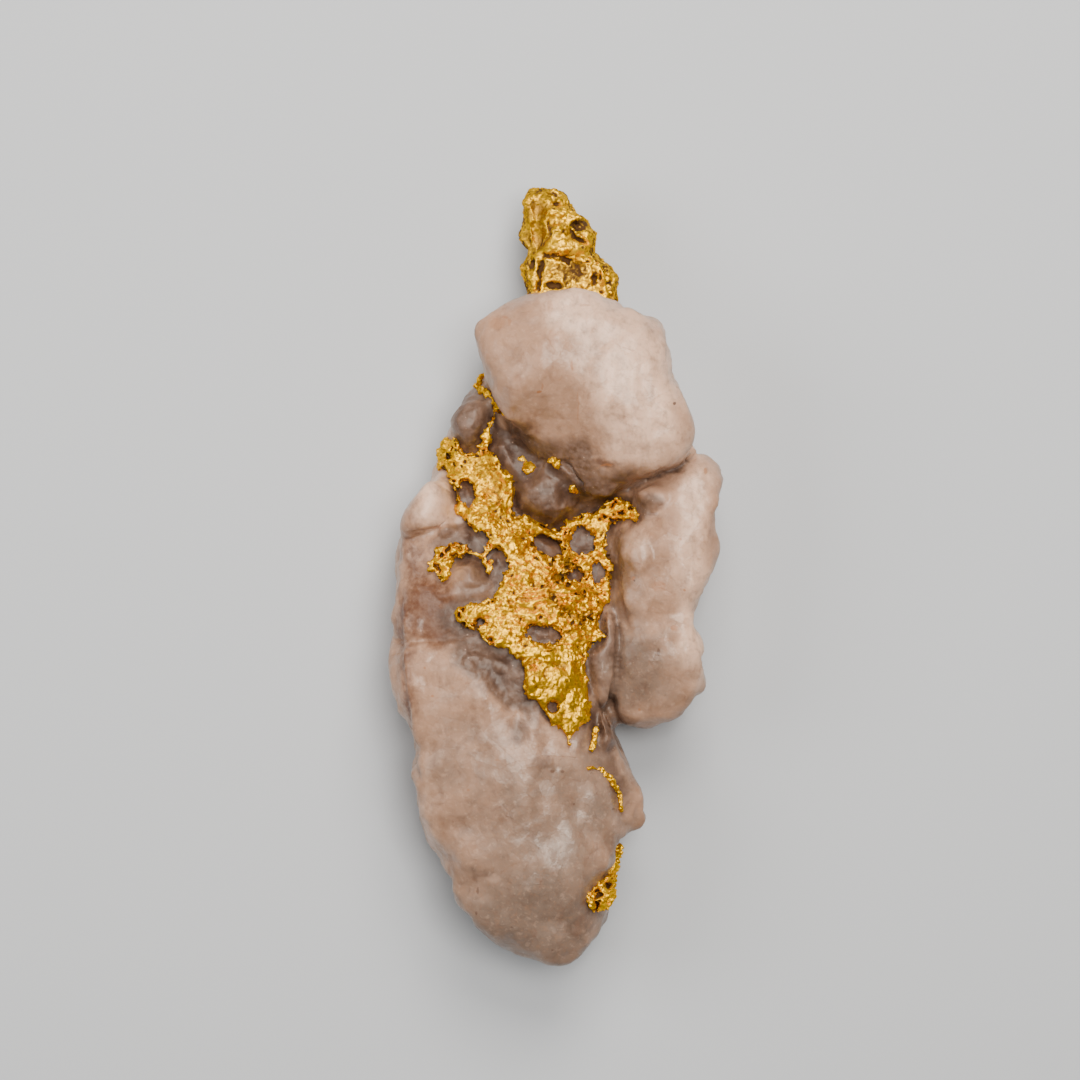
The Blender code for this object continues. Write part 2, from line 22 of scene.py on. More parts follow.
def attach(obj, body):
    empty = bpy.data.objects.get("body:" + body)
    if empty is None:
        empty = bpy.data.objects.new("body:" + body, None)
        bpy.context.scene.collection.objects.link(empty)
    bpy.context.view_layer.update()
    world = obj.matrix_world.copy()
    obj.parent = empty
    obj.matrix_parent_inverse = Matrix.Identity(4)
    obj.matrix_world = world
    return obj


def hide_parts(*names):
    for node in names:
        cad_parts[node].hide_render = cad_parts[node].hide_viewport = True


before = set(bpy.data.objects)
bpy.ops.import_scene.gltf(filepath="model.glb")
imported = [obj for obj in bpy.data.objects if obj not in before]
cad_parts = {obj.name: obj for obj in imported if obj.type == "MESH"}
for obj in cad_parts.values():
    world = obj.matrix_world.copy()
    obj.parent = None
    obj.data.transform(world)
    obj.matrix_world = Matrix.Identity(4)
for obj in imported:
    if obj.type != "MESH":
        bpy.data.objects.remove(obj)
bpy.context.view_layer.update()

MM = 0.001
ROOT = "root"
NOISE_SEED = 4
NOISE_TURN = (0.6, 0.5, 0.8)  # turns the noise off the axes, along which it looks blocky

log = logging.getLogger("specimen")

Point = tuple[float, float]
Colour = tuple[float, float, float]
Rule = Callable[[Vector], float]


class Layer(Enum):
    """What is painted on the pieces, vertex by vertex."""

    # painted shade: how far a place lies below its surroundings, darkened by the materials
    HOLLOW = "hollow"
    FINE_HOLLOW = "fine_hollow"
    SMOKE = "smoke"
    RUST = "rust"
    # milk-white clouds, partly painted highlight
    MILK = "milk"
    # painted shade: the lower lobes greyer and darker
    DUSK = "dusk_shade"
    # painted shade beside the gold
    NEAR_GOLD = "near_gold_shade"
    # deep smoke and painted shade in the recess
    DEEP = "deep"
    FACE = "face"
    # the gold's dirt, and painted shade on its steep flanks
    DIRT = "dirt"
    SMOOTH = "smooth"


# Shader nodes


class Value:
    """A shader socket that holds a number, or a plain number, with arithmetic written as on numbers."""

    def __init__(self, tree: "Tree", socket: Any) -> None:
        """Wraps a socket or a number that belongs to this tree."""
        self.tree = tree
        self.socket = socket

    def _with(self, operation: str, *others: Any, swap: bool = False) -> "Value":
        """Adds a Math node.

        Args:
            operation: The node's operation.
            others: The other operands, in order.
            swap: Whether this value comes after the first of them.

        Returns:
            The node's result.
        """
        operands = [self, *others]
        if swap:
            operands = [others[0], self, *others[1:]]
        node = self.tree.add("ShaderNodeMath", {"operation": operation}, operands)
        return Value(self.tree, node.outputs[0])

    def __add__(self, other: Any) -> "Value":
        """This plus the other."""
        return self._with("ADD", other)

    def __radd__(self, other: Any) -> "Value":
        """The other plus this."""
        return self._with("ADD", other)

    def __sub__(self, other: Any) -> "Value":
        """This less the other."""
        return self._with("SUBTRACT", other)

    def __rsub__(self, other: Any) -> "Value":
        """The other less this."""
        return self._with("SUBTRACT", other, swap=True)

    def __mul__(self, other: Any) -> "Value":
        """This times the other."""
        return self._with("MULTIPLY", other)

    def __rmul__(self, other: Any) -> "Value":
        """The other times this."""
        return self._with("MULTIPLY", other)

    def clamped(self) -> "Value":
        """This kept between 0 and 1."""
        return self._with("MAXIMUM", 0.0)._with("MINIMUM", 1.0)

    def or_more(self, other: Any) -> "Value":
        """The larger of this and the other."""
        return self._with("MAXIMUM", other)

    def swing(self, reach: float) -> "Value":
        """How far this noise is off its mean of 0.5, times the reach."""
        return (self - 0.5) * reach

    def ridged(self, width: float) -> "Value":
        """Thin lines where this is close to 0.5: 1 on a line, 0 where it is off by the width."""
        return (1.0 - (self - 0.5)._with("ABSOLUTE") * (1.0 / width)).clamped()

    def step(self, low: float, high: float) -> "Value":
        """A smooth rise from 0 where this is low to 1 where it is high.

        Args:
            low: Where the rise starts.
            high: Where it ends, which may be below low for a fall.

        Returns:
            The mask.
        """
        settings = {"interpolation_type": "SMOOTHSTEP", "clamp": True}
        inputs = {"Value": self, "From Min": low, "From Max": high, "To Min": 0.0, "To Max": 1.0}
        node = self.tree.add("ShaderNodeMapRange", settings, inputs)
        return Value(self.tree, node.outputs[0])


@dataclass(frozen=True)
class Spot:
    """A small sharp stain: its middle and half widths in mm, and how strong it is."""

    x: float
    y: float
    across: float
    along: float
    strength: float = 1.0


class Tree:
    """The node tree of one material, with its Principled shader at the end."""

    def __init__(self, name: str) -> None:
        """Starts a material.

        Args:
            name: The material's name.
        """
        self.material = bpy.data.materials.new(name)
        self.material.use_nodes = True
        self.nodes = self.material.node_tree.nodes
        self.links = self.material.node_tree.links
        self.shader = self.nodes["Principled BSDF"]
        self.place = self.add("ShaderNodeTexCoord", {}, {}).outputs["Object"]

    def add(self, kind: str, settings: dict[str, Any], inputs: Any) -> Any:
        """Adds one node.

        Args:
            kind: The node's type.
            settings: Its properties, set before its sockets.
            inputs: Its sockets' values or links, by name or in order.

        Returns:
            The node.
        """
        node = self.nodes.new(kind)
        for key, setting in settings.items():
            setattr(node, key, setting)
        pairs = inputs.items() if isinstance(inputs, dict) else enumerate(inputs)
        for key, given in pairs:
            self.feed(node.inputs[key], given)
        return node

    def feed(self, socket: Any, given: Any) -> None:
        """Links a socket to a value, or sets it.

        Args:
            socket: The socket.
            given: A value, another node's socket, a number, a colour or a vector.
        """
        source = given.socket if isinstance(given, Value) else given
        if isinstance(source, bpy.types.NodeSocket):
            self.links.new(source, socket)
        elif isinstance(source, tuple) and len(source) == 3 and socket.type == "RGBA":
            socket.default_value = (*source, 1.0)
        else:
            socket.default_value = source

    def vector(self, operation: str, *inputs: Any) -> Any:
        """The vector that a Vector Math node gives for these inputs."""
        return self.add("ShaderNodeVectorMath", {"operation": operation}, inputs).outputs["Vector"]

    def scalar(self, operation: str, *inputs: Any) -> Value:
        """The number that a Vector Math node gives for these inputs."""
        node = self.add("ShaderNodeVectorMath", {"operation": operation}, inputs)
        return Value(self, node.outputs["Value"])

    def set(self, **sockets: Any) -> None:
        """Feeds the shader's own sockets, whose names are written with underscores."""
        for name, given in sockets.items():
            self.feed(self.shader.inputs[name.replace("_", " ")], given)

    def cloud(
        self,
        size: float,
        detail: float = 3.0,
        twist: float = 0.0,
        shift: float = 0.0,
        squeeze: tuple[float, float, float] = (1, 1, 1),
    ) -> Value:
        """Soft noise of about 0 to 1.

        Args:
            size: How wide its patches are, in mm.
            detail: How many finer octaves it has.
            twist: How far it is warped.
            shift: A step aside in mm, so that two clouds differ.
            squeeze: How far it is squeezed along X, Y and Z; below 1 draws it out.

        Returns:
            The noise.
        """
        moved = self.vector("MULTIPLY_ADD", self.place, squeeze, (shift * MM,) * 3)
        inputs = {"Vector": moved, "Rotation": NOISE_TURN}
        turned = self.add("ShaderNodeVectorRotate", {"rotation_type": "EULER_XYZ"}, inputs).outputs[0]
        inputs = {"Vector": turned, "Scale": 1 / (size * MM), "Detail": detail}
        inputs |= {"Roughness": 0.55, "Distortion": twist}
        return Value(self, self.add("ShaderNodeTexNoise", {}, inputs).outputs[0])

    def cells(self, size: float) -> Value:
        """The distance to the middle of the nearest cell, for cells about this wide in mm."""
        inputs = {"Vector": self.place, "Scale": 1 / (size * MM)}
        return Value(self, self.add("ShaderNodeTexVoronoi", {"feature": "F1"}, inputs).outputs["Distance"])

    def facets(self, size: float) -> Value:
        """The relief of small flat facets, each tilted its own way.

        Args:
            size: How wide a facet is, in mm.

        Returns:
            The height in mm.
        """
        inputs = {"Vector": self.place, "Scale": 1 / (size * MM)}
        cells = self.add("ShaderNodeTexVoronoi", {"feature": "F1"}, inputs)
        middle, tilt = cells.outputs["Position"], cells.outputs["Color"]
        away = self.vector("SUBTRACT", self.place, middle)
        slope = self.vector("SUBTRACT", tilt, (0.5, 0.5, 0.5))
        return self.scalar("DOT_PRODUCT", away, slope) * (1 / MM)

    def spots(self, spots: Sequence[Spot], size: float, reach: float) -> Value:
        """Small sharp stains at chosen places, seen from above.

        Args:
            spots: The stains.
            size: How far apart the swings of their edges are in mm.
            reach: How wide those swings are in mm.

        Returns:
            The mask, 1 inside a stain.
        """
        inputs = {"Vector": self.place, "Scale": 1 / (size * MM), "Detail": 2.0}
        noisy = self.add("ShaderNodeTexNoise", {}, inputs).outputs["Color"]
        swing = self.vector("MULTIPLY_ADD", noisy, (reach * MM,) * 3, (-0.5 * reach * MM,) * 3)
        moved = self.vector("ADD", self.place, swing)
        mask = Value(self, 0.0)
        for spot in spots:
            scale = (1 / (spot.across * MM), 1 / (spot.along * MM), 0.0)
            centre = (-spot.x / spot.across, -spot.y / spot.along, 0.0)
            distance = self.scalar("LENGTH", self.vector("MULTIPLY_ADD", moved, scale, centre))
            mask = (distance.step(1.15, 0.65) * spot.strength).or_more(mask)
        return mask

    def painted(self, layer: Layer) -> Value:
        """What is painted on the piece under this name."""
        node = self.add("ShaderNodeAttribute", {"attribute_name": layer.value}, {})
        return Value(self, node.outputs["Fac"])

    def mix(self, share: Value, first: Any, second: Any) -> Any:
        """Blends two colours.

        Args:
            share: How much of the second.
            first: A colour or a colour socket.
            second: A colour or a colour socket.

        Returns:
            The blend's socket.
        """
        node = self.add("ShaderNodeMix", {"data_type": "RGBA"}, {})
        self.feed(node.inputs["Factor"], share)
        self.feed(node.inputs[6], first)
        self.feed(node.inputs[7], second)
        return node.outputs[2]

    def bump(self, height: Value, depth: float) -> Any:
        """The normal of a surface with this height in mm, times the depth."""
        inputs = {"Height": height, "Distance": depth * MM, "Strength": 1.0}
        return self.add("ShaderNodeBump", {}, inputs).outputs[0]


@dataclass(frozen=True)
class MilkyQuartz:
    """Waxy quartz: milk-white to pinkish beige, smoky and painted with shade in the recess, stained by
    rust.
    """

    # milk-white; in the milk patches partly painted highlight, and the colour of the painted glints
    milk: Colour = (0.83, 0.575, 0.43)
    blush: Colour = (0.45, 0.275, 0.185)
    beige: Colour = (0.33, 0.19, 0.115)
    # painted shade: the greyer, darker tone of the lower lobes
    dusk_shade: Colour = (0.175, 0.135, 0.11)
    smoke: Colour = (0.105, 0.058, 0.036)
    # the darkest smoke, partly painted shade in the hollows and beside the gold
    deep_smoke_and_shade: Colour = (0.045, 0.02, 0.012)
    mauve: Colour = (0.175, 0.108, 0.078)
    rust: Colour = (0.122, 0.043, 0.017)
    orange: Colour = (0.37, 0.145, 0.05)
    speck: Colour = (0.075, 0.03, 0.018)
    roughness: float = 0.36
    glow: float = 0.3
    glow_reach: float = 1.4
    glow_tint: Colour = (1.0, 0.75, 0.6)
    refraction: float = 1.54
    orange_spots: tuple[Spot, ...] = (
        Spot(-4.6, 19.6, 0.7, 0.5, 0.4),
        Spot(-0.2, 18.4, 0.5, 0.8, 0.25),
        Spot(-3.1, 15.2, 0.4, 0.6, 0.3),
        Spot(-4.0, 20.1, 0.28, 0.16, 0.6),
        Spot(-3.7, 19.7, 0.14, 0.3, 0.5),
        Spot(-0.5, 20.8, 0.22, 0.7, 0.3),
        Spot(2.2, 21.0, 0.5, 0.1, 0.5),
        Spot(-1.35, 14.2, 0.2, 0.1),
        Spot(-1.1, 14.6, 0.1, 0.26, 0.6),
        Spot(1.2, 16.2, 0.09, 0.4, 0.8),
        Spot(1.7, 13.0, 0.08, 1.4, 0.4),
        Spot(9.5, 14.6, 0.16, 0.12),
        Spot(3.9, 8.5, 0.5, 0.12, 0.8),
        Spot(11.8, 8.1, 0.16, 0.3, 0.8),
        Spot(9.8, 2.7, 0.12, 0.12, 0.8),
        Spot(6.1, -0.4, 0.16, 0.14, 0.9),
        Spot(8.1, -1.0, 0.6, 0.45, 0.5),
        Spot(10.1, -1.3, 0.1, 0.1, 0.8),
        Spot(9.3, -4.3, 0.34, 0.24, 0.9),
        Spot(8.6, -5.2, 0.5, 0.2, 0.35),
        Spot(6.6, -10.8, 0.13, 0.13, 0.7),
        Spot(-9.7, -9.6, 0.14, 0.11, 0.9),
        Spot(-10.3, -7.4, 0.12, 0.12, 0.8),
        Spot(-6.9, -17.0, 0.12, 0.12, 0.6),
        Spot(-4.6, -14.6, 0.3, 0.1, 0.35),
        Spot(-9.8, 3.6, 0.9, 0.14, 0.4),
    )
    dark_specks: tuple[Spot, ...] = (
        Spot(6.15, -0.55, 0.09, 0.1),
        Spot(8.05, -6.2, 0.13, 0.34, 0.7),
        Spot(7.6, 4.7, 0.44, 0.18, 0.5),
        Spot(9.2, 13.3, 0.15, 0.15, 0.9),
        Spot(-3.1, -12.9, 0.26, 0.2, 0.6),
        Spot(-0.3, -15.5, 0.18, 0.15, 0.6),
        Spot(0.5, -15.5, 0.18, 0.13, 0.6),
        Spot(1.4, -18.1, 0.1, 0.1, 0.6),
        Spot(4.5, -18.6, 0.15, 0.1, 0.6),
        Spot(-6.2, -25.0, 0.1, 0.3, 0.6),
        Spot(-6.3, -26.8, 0.09, 0.22, 0.6),
        Spot(-3.5, -27.9, 0.12, 0.08, 0.4),
        Spot(3.2, -21.6, 0.08, 0.5, 0.3),
        Spot(-0.3, -29.8, 0.1, 0.08, 0.6),
        Spot(4.9, 6.6, 0.22, 0.12, 0.6),
    )

    def material(self) -> bpy.types.Material:
        """Builds the quartz's material.

        Returns:
            The material.
        """
        tree = Tree("milky quartz")
        broad = tree.cloud(5.0, 2.0, 0.6)
        middle = tree.cloud(1.7, 3.0, 0.8, 11.0)
        streaks = tree.cloud(1.1, 3.0, 0.3, 17.0, (1.0, 0.35, 1.0))
        fine = tree.cloud(0.45, 3.0, 0.0, 23.0)
        grains = tree.cloud(0.4, 5.0, 0.3, 41.0)

        # Clouds of milk, blush and beige, the milk partly painted highlight; painted shade greys the lower
        # lobes
        milk_and_highlight_share = (tree.painted(Layer.MILK) + broad.swing(1.3) + middle.swing(0.8)).step(0.1, 0.95)
        beige_share = (streaks * 0.6 + broad * 0.4 + middle.swing(0.6)).step(0.42, 0.68)
        dusk_shade_share = (tree.painted(Layer.DUSK) + broad.swing(0.8) + middle.swing(0.5)).step(0.05, 0.95)
        ground = tree.mix(milk_and_highlight_share, self.blush, self.milk)
        ground = tree.mix(beige_share * (1 - milk_and_highlight_share * 0.55) * 0.8, ground, self.beige)
        ground = tree.mix(dusk_shade_share * 0.85, ground, self.dusk_shade)

        # Mottling, freckles, sugary grains and hairlines
        mottle = (fine * 0.4 + streaks * 0.6).step(0.48, 0.7)
        freckle = tree.cloud(0.8, 4.0, 0.4, 37.0).step(0.54, 0.72)
        hairline = tree.cloud(4.2, 3.0, 0.5, 53.0).ridged(0.016) * broad.step(0.46, 0.58)
        ground = tree.mix(mottle * (1 - dusk_shade_share * 0.7) * 0.24, ground, self.milk)
        ground = tree.mix(freckle * (1 - milk_and_highlight_share * 0.5) * 0.3, ground, self.beige)
        ground = tree.mix(grains.step(0.54, 0.7) * 0.16, ground, self.milk)
        ground = tree.mix(grains.step(0.46, 0.3) * (1 - milk_and_highlight_share * 0.5) * 0.4, ground, self.beige)
        ground = tree.mix(hairline * 0.22, ground, self.beige)

        # Rust
        speckle = fine.swing(1.1) + streaks.swing(0.9)
        rust_share = (tree.painted(Layer.RUST) * 0.95 + middle.swing(0.9) + speckle).step(-0.08, 0.9)
        ground = tree.mix(rust_share * (grains * 0.8 + 0.52).clamped() * 0.95, ground, self.rust)

        # Smoke in the recess; deeper smoke and painted shade in its hollows, its deep patches and beside
        # the gold
        smoke_share = (tree.painted(Layer.SMOKE) + middle.swing(0.7) + fine.swing(0.3)).step(0.12, 0.75)
        sugar = (streaks * 0.35 + fine * 0.65).step(0.42, 0.62)
        ground = tree.mix(smoke_share * 0.92, ground, tree.mix(sugar, self.smoke, self.mauve))
        deep_smoke_and_shade_share = tree.painted(Layer.DEEP) * 0.9 + tree.painted(Layer.HOLLOW) * 0.6 + middle.swing(0.8)
        deep_smoke_and_shade_share = (deep_smoke_and_shade_share + tree.painted(Layer.NEAR_GOLD) * 0.7 + fine.swing(0.4)).step(0.3, 1.0)
        ground = tree.mix(deep_smoke_and_shade_share * (smoke_share * 0.6 + 0.12), ground, self.deep_smoke_and_shade)

        # Single stains and specks on the face, and painted glints, small painted highlights, in the smoke
        face = tree.painted(Layer.FACE)
        ground = tree.mix(tree.spots(self.orange_spots, 0.5, 0.3) * face * 0.75, ground, self.orange)
        ground = tree.mix(tree.spots(self.dark_specks, 0.4, 0.16) * face * 0.85, ground, self.speck)
        painted_glint = tree.cells(0.5).step(0.16, 0.08) * fine.step(0.5, 0.62) * smoke_share
        ground = tree.mix(painted_glint * 0.4, ground, self.milk)

        chips = tree.facets(2.6) * 0.13 + tree.facets(0.9) * 0.14 + tree.cloud(0.3, 3.0, 0.0, 5.0) * 0.03
        tree.set(
            Base_Color=ground,
            Roughness=smoke_share * 0.12 + fine * 0.26 + (self.roughness - 0.13),
            Normal=tree.bump(chips, 1.0),
            Subsurface_Weight=self.glow,
            Subsurface_Scale=self.glow_reach * MM,
            Subsurface_Radius=self.glow_tint,
            IOR=self.refraction,
        )
        return tree.material


@dataclass(frozen=True)
class NativeGold:
    """Bare gold: bright on its high points, deep orange in its folds, partly painted shade, with brown
    dirt in its pits.
    """

    bright: Colour = (1.0, 0.60, 0.008)
    # the deep orange of the folds, partly painted shade
    deep: Colour = (0.80, 0.42, 0.006)
    tarnish: Colour = (0.33, 0.185, 0.03)
    # brown dirt, also laid on the steep flanks as painted shade
    dirt: Colour = (0.06, 0.028, 0.02)
    edge: Colour = (1.0, 0.64, 0.02)
    # the darker tone of the smooth parts, partly a painted dark reflection
    hammered: Colour = (0.49, 0.264, 0.009)
    roughness: float = 0.45

    def material(self) -> bpy.types.Material:
        """Builds the gold's material.

        Returns:
            The material.
        """
        tree = Tree("native gold")
        patches = tree.cloud(1.6, 3.0, 0.5)
        fine = tree.cloud(0.28, 3.0, 0.3, 7.0)
        # painted shade: the wide hollows deepen the metal's colour
        hollow = tree.painted(Layer.HOLLOW)
        pits = tree.painted(Layer.FINE_HOLLOW)
        # the dirt layer holds real dirt and painted shade on the steep flanks
        dirt = tree.painted(Layer.DIRT)
        smooth = tree.painted(Layer.SMOOTH)

        # The metal: deeper in its folds, partly painted shade, darker where hammered smooth, partly
        # painted dark reflection
        fold_shade = (hollow * 0.7 + pits * 0.5 + patches.swing(1.6) + fine.swing(0.6)).step(-0.1, 0.8)
        metal = tree.mix(fold_shade, self.bright, self.deep)
        metal = tree.mix(smooth * 0.75, metal, self.hammered)

        # The brown film over it, the dirt in its pits, and painted shade in the dirt colour on its steep
        # flanks
        film = pits * 0.5 + dirt * 0.9 + smooth * 0.2 + patches.swing(1.3) + fine.swing(0.8)
        film = film.step(0.32, 0.9)
        metal = tree.mix(film * 0.85, metal, self.tarnish)
        dirt_and_shade_share = (dirt + pits * 0.5 + fine.swing(0.9) + patches.swing(0.5)).step(0.64, 1.25)
        colour = tree.mix(dirt_and_shade_share * 0.95, metal, self.dirt)

        flakes = tree.facets(0.36) * 0.64 * (1 - smooth * 0.6) + tree.facets(0.8) * 0.3 * (1 - smooth)
        relief = flakes + tree.cells(0.26) * 0.022 + tree.cloud(0.18, 3.0, 0.2, 3.0) * 0.012
        tree.set(
            Base_Color=colour,
            Metallic=1 - dirt_and_shade_share * 0.85,
            Roughness=film * 0.1 + dirt_and_shade_share * 0.25 + fine * 0.16 + (self.roughness - 0.08),
            Normal=tree.bump(relief, 1.0),
            Specular_Tint=self.edge,
        )
        return tree.material


@dataclass(frozen=True)
class PaleTable:
    """A matt, pale table top."""

    colour: Colour = (0.60, 0.665, 0.74)
    shading: float = 0.96
    roughness: float = 0.85

    def material(self) -> bpy.types.Material:
        """Builds the table's material.

        Returns:
            The material.
        """
        tree = Tree("pale table")
        shade = tree.cloud(60.0, 2.0)
        tone = tree.mix(shade, self.colour, tuple(channel * self.shading for channel in self.colour))
        tree.set(Base_Color=tone, Roughness=self.roughness)
        return tree.material


# Shaping

DOUBLES = 0.001  # mm within which corners are one
PIT_RADIUS = 0.42  # of a pit, in cells of its grid
PIT_WARP = 0.25  # how far the grid of the pits is bent, in cells
CREASE_SLOPE = 5.0  # how fast a crease fades beside its line
SCALLOP_MEAN = 0.35  # what scallops give on average


def select_only(obj: bpy.types.Object) -> None:
    """Deselects everything, then selects one object and makes it active.

    Args:
        obj: The object.
    """
    bpy.ops.object.select_all(action="DESELECT")
    obj.select_set(True)
    bpy.context.view_layer.objects.active = obj


def apply_modifier(obj: bpy.types.Object, kind: str, **settings: Any) -> None:
    """Adds a modifier and applies it.

    Args:
        obj: The object.
        kind: The modifier's type.
        settings: The modifier's own settings.
    """
    select_only(obj)
    modifier = obj.modifiers.new(kind.lower(), kind)
    for key, setting in settings.items():
        setattr(modifier, key, setting)
    bpy.ops.object.modifier_apply(modifier=modifier.name)


def fuse(obj: bpy.types.Object, voxel: float) -> None:
    """Makes whatever overlaps in the object one closed skin with faces of about this size in mm."""
    apply_modifier(obj, "REMESH", mode="VOXEL", voxel_size=voxel * MM)


def soften(obj: bpy.types.Object, passes: int) -> None:
    """Rounds the skin off."""
    apply_modifier(obj, "SMOOTH", factor=0.5, iterations=passes)


def join(objects: Sequence[bpy.types.Object]) -> bpy.types.Object:
    """Joins meshes.

    Args:
        objects: The objects that hold them.

    Returns:
        The first object, which now holds them all.
    """
    select_only(objects[0])
    for obj in objects[1:]:
        obj.select_set(True)
    if len(objects) > 1:
        bpy.ops.object.join()
    return objects[0]


def merged_copy(node: str, name: str) -> bpy.types.Object:
    """Copies a node of the frame with its doubles merged.

    Args:
        node: The node.
        name: The copy's name.

    Returns:
        The copy, in the scene's own collection.
    """
    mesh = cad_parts[node].data.copy()
    obj = bpy.data.objects.new(name, mesh)
    bpy.context.scene.collection.objects.link(obj)
    select_only(obj)
    bpy.ops.object.mode_set(mode="EDIT")
    bpy.ops.mesh.select_all(action="SELECT")
    bpy.ops.mesh.remove_doubles(threshold=DOUBLES * MM)
    bpy.ops.object.mode_set(mode="OBJECT")
    mesh.materials.clear()
    return obj


def rise(amount: np.ndarray, low: float, high: float) -> np.ndarray:
    """A smooth rise from 0 at low to 1 at high."""
    share = np.clip((amount - low) / (high - low), 0.0, 1.0)
    return share * share * (3.0 - 2.0 * share)


def wander(places: np.ndarray, size: float, reach: float) -> np.ndarray:
    """Moves places about, so that what is measured from them gets an irregular edge.

    Args:
        places: The places in mm.
        size: How far apart the swings are in mm.
        reach: How wide they are in mm.

    Returns:
        The moved places.
    """
    swings = [noise.turbulence_vector(Vector(place) / size, 2, False)[:] for place in places]
    return places + reach * np.array(swings)


@dataclass(frozen=True)
class Patch:
    """A soft oval in plan: a stain, or a place that is treated apart."""

    x: float
    y: float
    across: float
    along: float
    turn: float = 0.0
    strength: float = 1.0

    def over(self, places: np.ndarray) -> np.ndarray:
        """Measures the patch.

        Args:
            places: The places in mm.

        Returns:
            How strong it is at each place.
        """
        angle = math.radians(self.turn)
        dx, dy = places[:, 0] - self.x, places[:, 1] - self.y
        u = (dx * math.cos(angle) + dy * math.sin(angle)) / self.across
        v = (dy * math.cos(angle) - dx * math.sin(angle)) / self.along
        return self.strength * np.exp(-((u * u + v * v) ** 1.5))


@dataclass(frozen=True)
class Dent:
    """A soft hollow, or a lump where its depth is below 0, on a surface."""

    x: float
    y: float
    across: float
    along: float
    depth: float
    turn: float = 0.0

    def over(self, places: np.ndarray) -> np.ndarray:
        """How far each place sinks in mm."""
        return Patch(self.x, self.y, self.across, self.along, self.turn, self.depth).over(places)


@dataclass(frozen=True)
class Line:
    """A line in plan along which the surface is cut, stepped or stained."""

    points: tuple[Point, ...]
    width: float
    depth: float = 0.0

    def measure(self, places: np.ndarray) -> tuple[np.ndarray, np.ndarray]:
        """Measures each place against the line.

        Args:
            places: The places in mm.

        Returns:
            The distance to the line, and the side: above 0 on its left as it is drawn.
        """
        plan = places[:, :2]
        nearest = np.full(len(plan), np.inf)
        side = np.zeros(len(plan))
        for start, end in zip(self.points, self.points[1:]):
            a, run = np.array(start), np.array(end) - np.array(start)
            share = np.clip(((plan - a) @ run) / (run @ run), 0.0, 1.0)
            away = plan - a - share[:, None] * run
            distance = np.hypot(away[:, 0], away[:, 1])
            closer = distance < nearest
            nearest = np.where(closer, distance, nearest)
            side = np.where(closer, run[0] * away[:, 1] - run[1] * away[:, 0], side)
        return nearest, side

    def groove(self, places: np.ndarray) -> np.ndarray:
        """How strong a soft groove along the line is at each place, 0 to 1."""
        distance, _ = self.measure(places)
        return np.exp(-((distance / self.width) ** 2))

    def ledge(self, places: np.ndarray, reach: float) -> np.ndarray:
        """Measures a step up on the line's left.

        Args:
            places: The places in mm.
            reach: How far from the line the step fades away, in mm.

        Returns:
            How much of the step there is at each place, 0 to 1.
        """
        distance, side = self.measure(places)
        signed = np.where(side > 0, distance, -distance)
        return rise(signed, -self.width, self.width) * np.exp(-np.maximum(signed, 0.0) / reach)


@dataclass(frozen=True)
class Facet:
    """A flat face that trims a lobe. It climbs from its foot, the way that it is headed in plan."""

    x: float
    y: float
    foot: float
    heading: float
    slope: float
    width: float
    edge: float = 0.5

    def over(self, places: np.ndarray) -> np.ndarray:
        """Measures what the face trims.

        Args:
            places: The places in mm.

        Returns:
            How far each place stands above the face in mm, fading out past the ends of the face.
        """
        angle = math.radians(self.heading)
        dx, dy = places[:, 0] - self.x, places[:, 1] - self.y
        along = dx * math.cos(angle) + dy * math.sin(angle)
        across = dy * math.cos(angle) - dx * math.sin(angle)
        proud = places[:, 2] - self.foot - self.slope * along
        within = np.exp(-((across / self.width) ** 4)) * rise(along, -1.2, 0.2)
        return 0.5 * (proud + np.sqrt(proud * proud + self.edge * self.edge)) * within


@dataclass(frozen=True)
class Boulder:
    """A rounded crystal that stands up out of the ground: an oval dome on its foot, clear of the gold."""

    x: float
    y: float
    foot: float
    across: float
    along: float
    height: float
    turn: float = 0.0
    clearance: float = 1.5

    def over(self, places: np.ndarray) -> np.ndarray:
        """Measures the dome against the ground.

        Args:
            places: The places on the ground in mm.

        Returns:
            How far the ground has to rise at each place to reach the dome, in mm.
        """
        angle = math.radians(self.turn)
        dx, dy = places[:, 0] - self.x, places[:, 1] - self.y
        u = (dx * math.cos(angle) + dy * math.sin(angle)) / self.across
        v = (dy * math.cos(angle) - dx * math.sin(angle)) / self.along
        inside = np.clip(1.0 - u * u - v * v, 0.0, 1.0)
        lift = self.foot + self.height * np.sqrt(inside) - places[:, 2]
        return np.where(inside > 0.0, np.maximum(lift, 0.0), 0.0)


